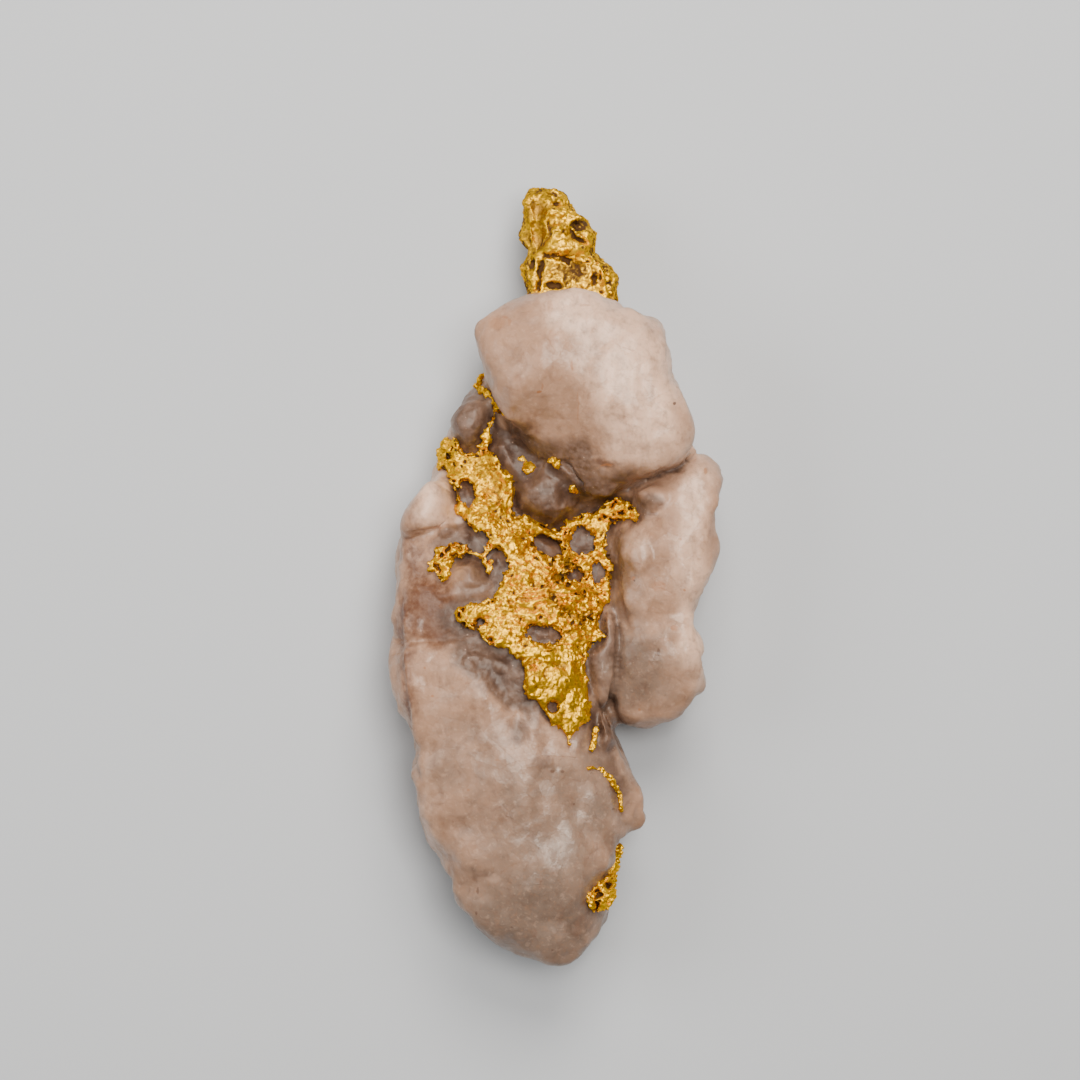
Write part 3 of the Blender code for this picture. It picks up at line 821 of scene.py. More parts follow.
class Relief:
    """A mesh whose surface is carved and painted vertex by vertex. Lengths are in mm."""

    def __init__(self, obj: bpy.types.Object) -> None:
        """Reads a mesh.

        Args:
            obj: The object that holds it.
        """
        self.mesh = obj.data
        count = len(self.mesh.vertices)
        flat = np.empty(count * 3, np.float32)
        self.mesh.vertices.foreach_get("co", flat)
        self.places = flat.reshape(-1, 3).astype(np.float64) / MM
        ends = np.empty(len(self.mesh.edges) * 2, np.int32)
        self.mesh.edges.foreach_get("vertices", ends)
        self.ends = ends.reshape(-1, 2)
        self.neighbours = np.bincount(self.ends.ravel(), minlength=count).astype(np.float64)
        self.read_normals()

    def read_normals(self) -> None:
        """Takes the normals that the mesh has now."""
        flat = np.empty(len(self.mesh.vertices) * 3, np.float32)
        self.mesh.vertices.foreach_get("normal", flat)
        self.normals = flat.reshape(-1, 3).astype(np.float64)

    def write(self) -> None:
        """Puts the places back in the mesh."""
        self.mesh.vertices.foreach_set("co", (self.places * MM).astype(np.float32).ravel())
        self.mesh.update()
        self.read_normals()

    def push(self, amount: np.ndarray) -> None:
        """Moves each vertex out along its normal by this much."""
        self.places += self.normals * amount[:, None]
        self.write()

    def averaged(self, values: np.ndarray, passes: int) -> np.ndarray:
        """Smooths values over the skin.

        Args:
            values: One value or one row for each vertex.
            passes: How many rounds of averaging with their neighbours smooth them.

        Returns:
            The smoothed values.
        """
        count = len(values)
        columns = values.astype(np.float64).reshape(count, -1)
        a, b = self.ends[:, 0], self.ends[:, 1]
        for _ in range(passes):
            total = columns.copy()
            for axis in range(columns.shape[1]):
                column = columns[:, axis]
                total[:, axis] += np.bincount(a, column[b], count) + np.bincount(b, column[a], count)
            columns = total / (self.neighbours + 1)[:, None]
        return columns.reshape(values.shape)

    def ease(self, share: np.ndarray, passes: int) -> None:
        """Draws the places towards their surroundings, without writing them to the mesh.

        Args:
            share: How far each place goes, 0 to 1.
            passes: How wide the surroundings are.
        """
        self.places += (self.averaged(self.places, passes) - self.places) * share[:, None]

    def draw_tight(self, loose: np.ndarray, passes: int) -> None:
        """Draws the loose part of the skin tight across its rim, like a drum's.

        Args:
            loose: Which vertices move.
            passes: How many rounds of averaging draw it tight.
        """
        a, b = self.ends[:, 0], self.ends[:, 1]
        inside = loose[a] | loose[b]
        a, b = a[inside], b[inside]
        count = len(self.places)
        for _ in range(passes):
            for axis in range(3):
                column = self.places[:, axis]
                total = np.bincount(a, column[b], count) + np.bincount(b, column[a], count)
                column[loose] = total[loose] / self.neighbours[loose]
        self.write()

    def hollow(self, passes: int, depth: float) -> np.ndarray:
        """How far each vertex lies below its surroundings.

        Args:
            passes: How wide the surroundings are.
            depth: The depth that counts as 1.

        Returns:
            The measure, -1 on crests to 1 in hollows.
        """
        around = self.averaged(self.places, passes)
        return np.clip(np.einsum("ij,ij->i", around - self.places, self.normals) / depth, -1.0, 1.0)

    def field(self, rule: Rule) -> np.ndarray:
        """What the rule gives at each place."""
        return np.fromiter((rule(Vector(place)) for place in self.places), np.float64, len(self.places))

    def paint(self, layer: Layer, values: np.ndarray) -> None:
        """Stores the values on the mesh for its material."""
        made = self.mesh.attributes.new(layer.value, "FLOAT", "POINT")
        made.data.foreach_set("value", values.astype(np.float32))


def gap_to(pieces: Sequence[bpy.types.Object], places: np.ndarray, most: float = 3.0) -> np.ndarray:
    """Measures how far each place is from the nearest of these pieces.

    Args:
        pieces: The pieces.
        places: The places in mm.
        most: The distance in mm beyond which it doesn't matter.

    Returns:
        The distances in mm.
    """
    corners: list[Vector] = []
    faces: list[tuple[int, ...]] = []
    for piece in pieces:
        start = len(corners)
        corners += [vertex.co / MM for vertex in piece.data.vertices]
        faces += [tuple(start + corner for corner in polygon.vertices) for polygon in piece.data.polygons]
    tree = BVHTree.FromPolygons(corners, faces)
    found = (tree.find_nearest(Vector(place), most)[3] for place in places)
    return np.fromiter((most if gap is None else gap for gap in found), np.float64, len(places))


def level_of(piece: bpy.types.Object, places: np.ndarray) -> np.ndarray:
    """Measures how high a piece's top is over or under each place.

    Args:
        piece: The piece.
        places: The places in mm.

    Returns:
        The levels in mm, 0 where the piece has no top.
    """
    corners = [vertex.co / MM for vertex in piece.data.vertices]
    tree = BVHTree.FromPolygons(corners, [tuple(polygon.vertices) for polygon in piece.data.polygons])
    down = Vector((0.0, 0.0, -1.0))
    found = (tree.ray_cast(Vector((x, y, 50.0)), down)[0] for x, y in places[:, :2])
    return np.fromiter((0.0 if spot is None else spot.z for spot in found), np.float64, len(places))


def swell(size: float, octaves: int = 3, shift: float = 0.0) -> Rule:
    """A rule for soft noise of about -1 to 1 with features of this size in mm."""
    aside = Vector((shift, shift, shift))
    return lambda place: noise.fractal((place + aside) / size, 1.0, 2.0, octaves)


def nodules(size: float, warp: float, shift: float = 0.0) -> Rule:
    """A rule for rounded nodules with narrow clefts between them: 0 in a cleft to about 1 on top.

    Args:
        size: How wide a nodule is, in mm.
        warp: How far the pattern is bent, in nodules.
        shift: A step aside in mm.

    Returns:
        The rule.
    """
    aside = Vector((shift, shift, shift))

    def rule(place: Vector) -> float:
        """The height of the nodules.

        Args:
            place: The place in mm.

        Returns:
            The height, 0 to 1.
        """
        spot = (place + aside) / size
        spot += warp * noise.noise_vector(spot * 0.7)
        near, next_near = noise.voronoi(spot)[0][:2]
        return min(1.0, (next_near - near) * 2.2)

    return rule


def scallops(size: float, shift: float = 0.0) -> Rule:
    """A rule for shallow shell-shaped chips that meet in ridges: 0 in a chip to 1 on a ridge.

    Args:
        size: How wide a chip is, in mm.
        shift: A step aside in mm.

    Returns:
        The rule.
    """
    aside = Vector((shift, shift, shift))

    def rule(place: Vector) -> float:
        """How close to a ridge a place is.

        Args:
            place: The place in mm.

        Returns:
            The closeness, 0 to 1.
        """
        spot = (place + aside) / size
        spot += 0.35 * noise.noise_vector(spot * 1.3)
        return min(1.0, noise.voronoi(spot)[0][0] * 1.3) ** 2

    return rule


def creases(size: float, shift: float = 0.0) -> Rule:
    """A rule for a net of thin wandering lines: 1 on a line and 0 between.

    Args:
        size: How far apart the lines are, in mm.
        shift: A step aside in mm.

    Returns:
        The rule.
    """
    aside = Vector((shift, shift, shift))

    def rule(place: Vector) -> float:
        """How close to a line this place is."""
        spot = (place + aside) / size
        return max(0.0, 1.0 - CREASE_SLOPE * abs(noise.noise(spot) + 0.3 * noise.noise(spot * 2.7)))

    return rule


def pits(size: float, share: float, shift: float = 0.0) -> Rule:
    """A rule for round pits, 1 at the middle of a pit and 0 away from it.

    Args:
        size: The grid that holds one pit at most in each cell, in mm.
        share: How many cells have a pit, 0 to 1.
        shift: A step aside in mm.

    Returns:
        The rule.
    """
    aside = Vector((shift, shift, shift))

    def rule(place: Vector) -> float:
        """How deep in a pit a place is.

        Args:
            place: The place in mm.

        Returns:
            The depth, 0 to 1.
        """
        spot = (place + aside) / size + PIT_WARP * noise.noise_vector(place / size)
        distances, spots = noise.voronoi(spot)
        chosen = noise.cell(spots[0] * 7.3) * 0.5 + 0.5
        return max(0.0, 1.0 - distances[0] / PIT_RADIUS) if chosen < share else 0.0

    return rule


def dress(obj: bpy.types.Object, node: str, finish: bpy.types.Material) -> None:
    """Gives a finished piece its finish, and its place in the specimen.

    Args:
        obj: The piece.
        node: The node that it stands for.
        finish: Its material.
    """
    obj.data.materials.clear()
    obj.data.materials.append(finish)
    select_only(obj)
    bpy.ops.object.shade_smooth()
    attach(obj, ROOT)
    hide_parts(node)
    log.info("%s: %d faces", obj.name, len(obj.data.polygons))


# Gold


@dataclass
class Gold:
    """A piece of native gold, grown as a crust of small nodules. Lengths are in mm."""

    node: str
    name: str
    skin: float = 0.085
    rounding: int = 3
    lift: float = 0.0
    nub_count: int = 60
    nub_radius: tuple[float, float] = (0.12, 0.24)
    nub_stretch: tuple[float, float] = (0.6, 1.5)
    nub_proud: float = 0.35
    stray_nubs: float = 0.02
    swelling: float = 0.06
    swell_depth: float = 0.12
    nodule: float = 0.38
    nodule_depth: float = 0.13
    pit_size: float = 0.62
    pit_depth: float = 0.35
    pit_share: float = 0.4
    fray: float = 0.0
    fray_size: float = 0.75
    fray_share: float = 0.8
    fray_level: float = 9.2
    grit: float = 0.035
    crease_gap: float = 1.1
    crease_depth: float = 0.1
    crack_grime: float = 0.25
    polish: float = 1.0
    margin_passes: int = 100
    wide_hollow: tuple[int, float] = (14, 0.16)
    fine_hollow: tuple[int, float] = (3, 0.05)
    flank: tuple[float, float] = (-0.1, 0.55)
    grime: float = 0.0
    # painted shade: how much dirt colour the steep flanks get
    flank_shade: float = 0.4
    seed: int = 1
    gaps: tuple[Dent, ...] = ()
    thinned: tuple[Patch, ...] = ()
    dirt_patches: tuple[Patch, ...] = ()
    smooth_patches: tuple[Patch, ...] = ()
    pitting: np.ndarray = field(default_factory=lambda: np.zeros(0))
    cracking: np.ndarray = field(default_factory=lambda: np.zeros(0))

    def build(self, finish: bpy.types.Material) -> bpy.types.Object:
        """Builds and dresses the piece.

        Args:
            finish: The gold's material.

        Returns:
            The piece.
        """
        piece = merged_copy(self.node, self.name)
        fuse(piece, self.skin * 1.5)
        soften(piece, self.rounding)
        self.block_out(Relief(piece))
        piece = join([piece, self.nubs(piece)])
        fuse(piece, self.skin)
        soften(piece, 1)
        relief = Relief(piece)
        self.shape(relief)
        self.crust(relief)
        self.tarnish(relief)
        dress(piece, self.node, finish)
        return piece

    def block_out(self, relief: Relief) -> None:
        """Lifts the piece, and thins it where it is slimmer than its node.

        Args:
            relief: The piece.
        """
        relief.places[:, 2] += self.lift
        relief.write()
        if self.thinned:
            relief.push(-sum(patch.over(relief.places) for patch in self.thinned))

    def nub_chance(self, relief: Relief) -> np.ndarray:
        """How likely a nub is at each vertex: they crowd on the steep margins of the rough parts."""
        steep = rise(-relief.normals[:, 2], -0.75, -0.1) * rise(relief.normals[:, 2], -0.6, -0.1)
        return steep * (1.0 - 0.85 * self.smooth_share(relief)) + self.stray_nubs

    def nubs(self, piece: bpy.types.Object) -> bpy.types.Object:
        """Makes the small beads of gold that stud the piece's margins.

        Args:
            piece: The piece.

        Returns:
            The beads, as one object.
        """
        relief = Relief(piece)
        draw = np.random.default_rng(self.seed)
        chance = self.nub_chance(relief)
        chosen = draw.choice(len(chance), self.nub_count, replace=False, p=chance / chance.sum())
        bpy.ops.object.select_all(action="DESELECT")
        bpy.ops.mesh.primitive_ico_sphere_add(subdivisions=2, radius=1.0)
        bead = bpy.context.active_object
        corners = np.array([vertex.co[:] for vertex in bead.data.vertices])
        faces = np.array([polygon.vertices[:] for polygon in bead.data.polygons])
        bpy.data.objects.remove(bead)
        radii = draw.uniform(*self.nub_radius, self.nub_count)
        stretch = draw.uniform(*self.nub_stretch, (self.nub_count, 3))
        middles = relief.places[chosen] + relief.normals[chosen] * (radii * self.nub_proud)[:, None]
        points = middles[:, None] + corners * (radii[:, None] * stretch)[:, None]
        starts = np.arange(self.nub_count)[:, None, None] * len(corners)
        mesh = bpy.data.meshes.new("nubs")
        triangles = (faces + starts).reshape(-1, 3)
        mesh.from_pydata((points.reshape(-1, 3) * MM).tolist(), [], triangles.tolist())
        made = bpy.data.objects.new("nubs", mesh)
        bpy.context.scene.collection.objects.link(made)
        return made

    def smooth_share(self, relief: Relief) -> np.ndarray:
        """Measures how smooth and hammered each place is.

        Args:
            relief: The piece.

        Returns:
            The smoothness, 0 to 1.
        """
        share = np.zeros(len(relief.places))
        for patch in self.smooth_patches:
            share = np.maximum(share, patch.over(relief.places))
        return np.clip(share, 0.0, 1.0)

    def shape(self, relief: Relief) -> None:
        """Gives the piece its own larger forms."""
        relief.push(self.swelling + self.swell_depth * relief.field(swell(1.6, 2, self.seed)))

    def crust(self, relief: Relief) -> None:
        """Covers the piece with nodules, cracks it, opens pits and frays its margins.

        Args:
            relief: The piece.
        """
        rough = 1.0 - 0.75 * self.smooth_share(relief)
        margin = self.margin_share(relief)
        height = relief.field(nodules(self.nodule, 0.6, self.seed)) - 0.6
        self.pitting = relief.field(pits(self.pit_size, self.pit_share, self.seed * 3.1)) * rough
        self.cracking = relief.field(creases(self.crease_gap, self.seed * 2.3)) * (1.3 - rough)
        sunk = self.pitting * self.pit_depth + self.cracking * self.crease_depth
        relief.push(height * self.nodule_depth * rough - sunk)
        relief.push(self.grit * relief.field(swell(0.22, 2, self.seed)) * (0.4 + 0.6 * rough))
        torn = rise(relief.field(pits(self.fray_size, self.fray_share, self.seed * 5.3)), 0.15, 0.4)
        torn = torn * margin * rough**2 * self.fray
        torn *= rise(relief.places[:, 2], self.fray_level - 0.6, self.fray_level)
        if self.gaps:
            ragged = wander(relief.places, 0.45, 0.2)
            torn += np.minimum(sum(gap.over(ragged) for gap in self.gaps), 1.0)
        upward = rise(relief.normals[:, 2], -0.2, 0.2)
        relief.places[:, 2] -= torn * upward
        relief.write()
        self.pitting = np.maximum(self.pitting, torn)

    def margin_share(self, relief: Relief) -> np.ndarray:
        """How close to the piece's margins each place is, 0 to 1."""
        steep = 1.0 - np.clip(relief.normals[:, 2], 0.0, 1.0)
        return rise(relief.averaged(steep, self.margin_passes), 0.3, 0.6)

    def tarnish(self, relief: Relief) -> None:
        """Paints the hollows, which are shaded as painted shade, the brown dirt in them, and painted shade
        on the steep flanks.

        Args:
            relief: The piece.
        """
        wide = relief.hollow(*self.wide_hollow)
        fine = relief.hollow(*self.fine_hollow)
        # Painted shade: the steep flanks get the dirt colour, in patches
        steep = 1.0 - rise(relief.normals[:, 2], *self.flank)
        steep *= 0.5 + 0.9 * rise(relief.field(swell(0.7, 2, self.seed * 4.7)), -0.3, 0.4)
        dirt = 0.35 * rise(wide, 0.3, 1.0) + 0.7 * rise(self.pitting, 0.1, 0.5)
        dirt = dirt + self.flank_shade * steep
        dirt += self.crack_grime * self.cracking + self.grime
        ragged = wander(wander(relief.places, 0.8, 0.35), 0.25, 0.12)
        for patch in self.dirt_patches:
            dirt = dirt + patch.over(ragged) * (0.65 + 0.35 * rise(fine, -0.6, 0.6))
        relief.paint(Layer.HOLLOW, wide)
        relief.paint(Layer.FINE_HOLLOW, fine)
        relief.paint(Layer.DIRT, dirt)
        relief.paint(Layer.SMOOTH, self.polish * self.smooth_share(relief))


@dataclass
class Crown(Gold):
    """The bare nugget that stands out of the quartz's far end: a smooth trough beside a granular ridge."""

    dents: tuple[Dent, ...] = (
        Dent(-1.5, 29.0, 0.6, 1.0, 0.45),
        Dent(-1.6, 26.7, 0.8, 1.15, 0.75),
        Dent(1.75, 27.75, 0.5, 0.4, 0.75),
        Dent(-1.2, 24.5, 0.3, 0.5, 0.6),
        Dent(-2.0, 24.7, 0.25, 0.4, 0.4),
        Dent(-0.2, 22.9, 0.6, 0.25, 0.4),
        Dent(3.1, 23.4, 0.25, 0.5, 0.45),
        Dent(3.9, 24.3, 0.2, 0.5, 0.5, 20.0),
        Dent(1.2, 24.0, 0.8, 0.9, 0.2),
        Dent(0.6, 27.2, 0.12, 0.12, 0.2),
        Dent(2.5, 24.8, 0.15, 0.12, 0.25),
        Dent(3.6, 22.4, 0.15, 0.15, 0.25),
        Dent(-0.1, 30.2, 0.5, 0.15, 0.25, -20.0),
        Dent(0.0, 29.4, 0.35, 0.12, 0.2, 8.0),
        Dent(-0.2, 28.7, 0.6, 0.45, -0.28),
        Dent(0.1, 27.3, 0.55, 0.5, -0.3),
        Dent(0.6, 26.0, 1.5, 0.7, -0.35),
        Dent(2.6, 26.6, 0.5, 0.7, -0.2),
        Dent(4.8, 23.6, 0.35, 0.8, -0.3),
        Dent(-2.0, 23.3, 0.35, 0.8, -0.2),
    )
    notches: tuple[Dent, ...] = (
        Dent(-2.5, 25.4, 0.8, 0.5, 0.5),
        Dent(-2.8, 27.2, 0.6, 0.8, -0.2),
        Dent(-2.8, 24.3, 0.6, 0.6, -0.25),
        Dent(-3.0, 29.8, 0.7, 0.7, 0.4),
        Dent(-1.6, 30.6, 0.7, 0.5, -0.3),
        Dent(2.8, 25.5, 0.8, 0.5, 0.3),
        Dent(3.0, 26.8, 0.6, 0.8, -0.25),
        Dent(4.9, 24.0, 0.6, 0.8, -0.25),
        Dent(1.6, 28.6, 0.6, 0.5, 0.2),
    )
    clefts: tuple[Line, ...] = (
        Line(((1.2, 27.3), (1.4, 26.8), (1.9, 26.5), (2.4, 26.3)), 0.13, 0.5),
        Line(((-1.0, 25.3), (0.0, 25.2), (1.0, 24.8)), 0.18, 0.35),
        Line(((-1.4, 24.2), (-1.3, 23.4), (-1.45, 22.6)), 0.14, 0.4),
        Line(((4.1, 23.9), (4.35, 22.6), (4.6, 21.6)), 0.16, 0.55),
        Line(((3.5, 24.0), (3.5, 23.3)), 0.09, 0.4),
        Line(((-0.6, 27.9), (-0.5, 27.0), (-1.0, 26.2)), 0.12, 0.2),
    )
    waist: float = 5.7
    fullness: float = 0.42
    lumps: float = 0.09

    def block_out(self, relief: Relief) -> None:
        """Steepens the crown's sides above its waist, so that its top is broad.

        Args:
            relief: The crown.
        """
        level = relief.places[:, 2]
        height = level.max() - self.waist
        share = np.clip((level - self.waist) / height, 0.0, 1.0)
        relief.places[:, 2] = np.where(share > 0.0, self.waist + height * share**self.fullness, level)
        relief.write()

    def shape(self, relief: Relief) -> None:
        """Sinks the trough, pits and clefts, raises the ridge, and makes the sides lumpy.

        Args:
            relief: The crown.
        """
        upward = rise(relief.normals[:, 2], -0.1, 0.5)
        sunk = sum(dent.over(relief.places) for dent in self.dents)
        sunk += sum(cleft.depth * cleft.groove(relief.places) for cleft in self.clefts)
        rough = 1.0 - 0.8 * self.smooth_share(relief)
        broad = 0.16 * relief.field(swell(2.1, 2, 4.0))
        relief.push(broad + 0.14 * relief.field(swell(0.9, 3, 9.0)) * rough)
        relief.push(-sunk * upward)
        sunk = sum(notch.over(relief.places) for notch in self.notches)
        lumps = self.lumps * relief.field(swell(0.55, 2, 17.0))
        lumps = lumps + self.lumps * (relief.field(nodules(0.45, 0.5, 19.0)) - 0.6)
        relief.push((lumps - sunk) * (1.0 - upward))


@dataclass
class Sheet(Gold):
    """The crackled sheet across the recess: wavy ridges in its middle, a hammered tail, spongy margins."""

    ridged: Patch = Patch(0.6, -1.6, 4.6, 4.2)
    ridge_gap: float = 0.75
    ridge_depth: float = 0.14
    shadow_band: Line = Line(((-1.9, -6.9), (-0.8, -7.4), (0.5, -7.2)), 0.45, 0.3)
    ribbon: Line = Line(((-1.2, 3.4), (-0.3, 3.0), (0.4, 2.6)), 0.28, -0.25)

    def shape(self, relief: Relief) -> None:
        """Raises the wavy ridges and the ribbon, and sinks the band above the tail.

        Args:
            relief: The sheet.
        """
        middle = self.ridged.over(relief.places)
        upward = rise(relief.normals[:, 2], 0.1, 0.6)
        x, y = relief.places[:, 0], relief.places[:, 1]
        drift = relief.field(swell(1.7, 2, 5.0)) * 1.1 + relief.field(swell(4.0, 1, 2.0)) * 0.8
        wave = np.sin((y + 0.12 * x + drift) * (2 * math.pi / self.ridge_gap))
        relief.push(self.ridge_depth * (wave - 0.3) * middle * upward)
        sunk = self.shadow_band.depth * self.shadow_band.groove(relief.places)
        sunk += self.ribbon.depth * self.ribbon.groove(relief.places)
        relief.push(0.2 * relief.field(swell(1.8, 2, 7.0)) - sunk * upward)


# Quartz


@dataclass
class Quartz:
    """The quartz mass: waxy lobes round a smoky recess, in which the gold lies. Lengths are in mm."""

    node: str = "quartz_matrix"
    name: str = "quartz_mass"
    rough_skin: float = 0.3
    skin: float = 0.26
    softening: int = 7
    recess_smoke: float = 0.45
    recess_floor: float = 5.0
    squareness: float = 0.8
    sheet_node: str = "gold_sheet"
    sheet_rise: float = 0.78
    bed_spread: float = 0.42
    bed_reach: float = 0.6
    bed_passes: int = 500
    crown_shelf: float = 21.8
    bank_passes: int = 25
    boulder_passes: int = 3
    blend_passes: int = 40
    facet_passes: int = 30
    # how far the painted shade beside the gold reaches, in mm
    gold_shade_reach: float = 0.55
    stain_edge: tuple[float, float] = (2.6, 0.9)
    wide_hollow: tuple[int, float] = (20, 0.3)
    lobe_hollow: tuple[int, float] = (120, 1.0)
    facing_passes: int = 12
    shoulder_passes: int = 10
    moat: float = 0.12
    moat_reach: float = 0.7
    grit: float = 0.03
    smoke: tuple[Patch, ...] = (
        Patch(-4.2, 9.0, 2.2, 2.8),
        Patch(-0.4, 8.6, 4.0, 2.2, 0.0, 0.9),
        Patch(-0.8, 6.1, 3.2, 3.2),
        Patch(3.6, 6.0, 3.0, 2.0, 20.0, 0.85),
        Patch(2.2, 4.2, 2.4, 2.2),
        Patch(4.2, 1.4, 1.7, 3.6, 0.0, 0.9),
        Patch(0.2, 1.6, 4.0, 3.0),
        Patch(-6.6, 7.6, 2.2, 2.6, 0.0, 0.95),
        Patch(-6.6, 12.4, 1.9, 2.6, 0.0, 0.7),
        Patch(-7.4, 2.6, 3.0, 1.7, 0.0, 0.85),
        Patch(-4.7, 0.6, 1.8, 2.4, 0.0, 0.95),
        Patch(-5.4, -2.6, 2.0, 1.6, 0.0, 0.7),
        Patch(-4.6, -6.6, 2.8, 2.2, -35.0, 0.95),
        Patch(-2.9, -9.4, 1.3, 2.9, 35.0, 0.9),
        Patch(-8.4, -3.6, 1.6, 1.3, -40.0, 0.5),
        Patch(-7.0, -0.8, 1.8, 1.8, 0.0, 0.5),
        Patch(-0.4, -10.7, 0.9, 0.9),
        Patch(0.0, -5.0, 3.6, 2.4),
        Patch(2.8, -6.2, 0.7, 4.2, 0.0, 0.6),
        Patch(4.0, -6.6, 1.1, 4.2, 0.0, 0.35),
        Patch(-5.4, -6.7, 3.9, 1.8, -30.0, 0.95),
        Patch(3.6, -12.8, 1.5, 2.8, 0.0, 0.75),
        Patch(4.7, -16.0, 0.9, 2.4, 18.0, 0.55),
        Patch(7.4, 5.0, 1.7, 1.2, 0.0, 0.6),
        Patch(-2.9, -12.2, 1.0, 0.8, 0.0, 0.5),
        Patch(-0.6, -15.2, 1.6, 0.9, 0.0, 0.55),
        Patch(-6.2, -24.0, 1.0, 1.6, 0.0, 0.35),
        Patch(1.5, -27.0, 5.0, 3.0, 0.0, 0.3),
        Patch(6.0, -6.6, 2.8, 4.2, 0.0, 0.34),
    )
    rust: tuple[Patch, ...] = (
        Patch(-10.0, -2.8, 2.4, 2.9),
        Patch(-8.3, -3.8, 2.6, 1.7),
        Patch(-11.2, 1.4, 1.2, 2.6, 0.0, 0.6),
        Patch(-6.0, -5.4, 1.6, 0.9, -20.0, 0.5),
        Patch(3.8, 8.5, 1.0, 0.35, -10.0, 0.8),
        Patch(-11.6, -9.0, 0.6, 5.0, 0.0, 0.6),
        Patch(-3.0, 10.4, 1.6, 1.6, 0.0, 0.4),
        Patch(-5.0, -6.9, 3.4, 1.4, -32.0, 0.4),
    )
    # deep smoke and painted shade in the recess
    deep: tuple[Patch, ...] = (
        Patch(-3.4, 10.6, 1.9, 1.3, -30.0, 0.9),
        Patch(-2.9, 8.6, 0.7, 1.4, 20.0, 0.6),
        Patch(2.6, 6.7, 1.5, 1.1, -30.0, 0.7),
        Patch(5.3, 5.0, 1.9, 1.2, 0.0, 0.95),
        Patch(-6.2, 3.0, 1.1, 0.7, 0.0, 0.95),
        Patch(-5.4, 2.0, 1.7, 0.6, -12.0, 0.6),
        Patch(-5.0, -7.6, 1.9, 0.8, -38.0, 0.78),
        Patch(-4.0, -8.9, 0.8, 1.2, 25.0, 0.5),
        Patch(-4.4, 0.8, 0.9, 1.3, 0.0, 0.45),
        Patch(3.6, -3.2, 0.8, 2.4, 0.0, 0.85),
        Patch(-3.5, -6.6, 1.3, 0.9, -20.0, 0.95),
        Patch(-2.9, -9.4, 0.7, 1.6, 10.0, 0.5),
        Patch(3.4, -11.4, 0.6, 1.8, 0.0, 0.6),
        Patch(-6.9, 6.3, 0.9, 1.4, 0.0, 0.75),
        Patch(-0.8, 6.1, 2.7, 2.7, 0.0, 0.74),
        Patch(-0.4, -10.7, 0.9, 0.9),
        Patch(-0.7, 2.4, 1.0, 0.8, 0.0, 0.65),
        Patch(2.1, 2.5, 1.1, 1.1, 0.0, 0.75),
        Patch(3.3, 0.2, 0.9, 0.9, 0.0, 0.65),
        Patch(1.6, -0.1, 0.9, 0.7, 0.0, 0.6),
        Patch(-1.2, -4.8, 1.2, 0.6, 0.0, 0.5),
        Patch(-7.4, 1.0, 1.3, 0.9, 0.0, 0.7),
        Patch(-4.7, -0.4, 0.9, 1.4, 0.0, 0.9),
        Patch(-8.4, -3.4, 1.2, 1.5, 20.0, 0.8),
    )
    # milk-white clouds, partly painted highlight
    milk: tuple[Patch, ...] = (
        Patch(6.7, 14.5, 4.6, 7.0),
        Patch(1.9, 20.5, 4.0, 2.6, 0.0, 0.8),
        Patch(10.9, 2.0, 2.2, 8.0, 0.0, 0.75),
        Patch(-9.6, 6.0, 2.4, 3.0, 0.0, 0.8),
        Patch(-8.9, -9.0, 2.2, 3.2, 0.0, 0.35),
        Patch(0.8, -22.5, 3.0, 3.6, 0.0, 0.4),
        Patch(-9.8, -18.6, 1.2, 3.6, 0.0, 0.5),
        Patch(1.2, -14.4, 2.0, 1.6, 0.0, 0.4),
        Patch(6.5, 2.0, 1.2, 2.0, 0.0, 0.6),
        Patch(0.6, -12.0, 1.6, 1.2, 0.0, 0.6),
        Patch(-6.8, -0.6, 0.9, 0.9, 0.0, 0.5),
        Patch(4.1, -6.8, 0.8, 3.4, 0.0, 0.5),
        Patch(11.0, -4.6, 1.3, 5.0, 0.0, 0.7),
    )
    ledges: tuple[tuple[Line, float], ...] = (
        (Line(((-11.4, 3.5), (-10.0, 3.7), (-7.8, 4.2)), 0.14, 0.35), 1.6),
        (Line(((-7.8, -5.2), (-8.8, -5.5), (-9.9, -5.4), (-11.2, -5.9)), 0.32, 0.3), 2.2),
        (Line(((-11.9, -3.9), (-11.7, -8.0), (-11.2, -11.5), (-10.8, -14.6)), 0.16, 0.45), 1.2),
        (
            Line(
                ((4.3, 6.3), (5.2, 6.6), (6.1, 7.1), (7.0, 7.8), (7.9, 8.4), (9.6, 8.6), (10.6, 9.3)),
                0.12,
                0.4,
            ),
            1.4,
        ),
    )
    # painted shade: patches where the lobes are greyer and darker
    dusk_shade: tuple[Patch, ...] = (
        Patch(-2.0, -28.0, 8.0, 5.5, 0.0, 0.9),
        Patch(-1.0, -19.0, 9.0, 7.0, 0.0, 0.6),
        Patch(-8.0, -13.0, 3.6, 5.0, 0.0, 0.35),
        Patch(6.6, -8.0, 3.4, 3.8, 0.0, 0.62),
        Patch(5.4, -2.0, 2.2, 7.0, 0.0, 0.55),
        Patch(4.0, -14.0, 2.6, 5.0, 0.0, 0.5),
        Patch(-6.6, 12.0, 2.2, 3.2, 0.0, 0.8),
    )
    dents: tuple[Dent, ...] = (
        Dent(2.4, 4.6, 1.2, 0.6, 0.4, 25.0),
        Dent(-6.4, 4.8, 1.2, 0.5, 0.3, 10.0),
        Dent(-4.6, -6.4, 1.6, 0.6, 0.4, -35.0),
    )
    blends: tuple[Patch, ...] = (Patch(1.6, 8.1, 3.4, 1.2, -41.0), Patch(-2.8, 10.3, 1.7, 1.3, -45.0))
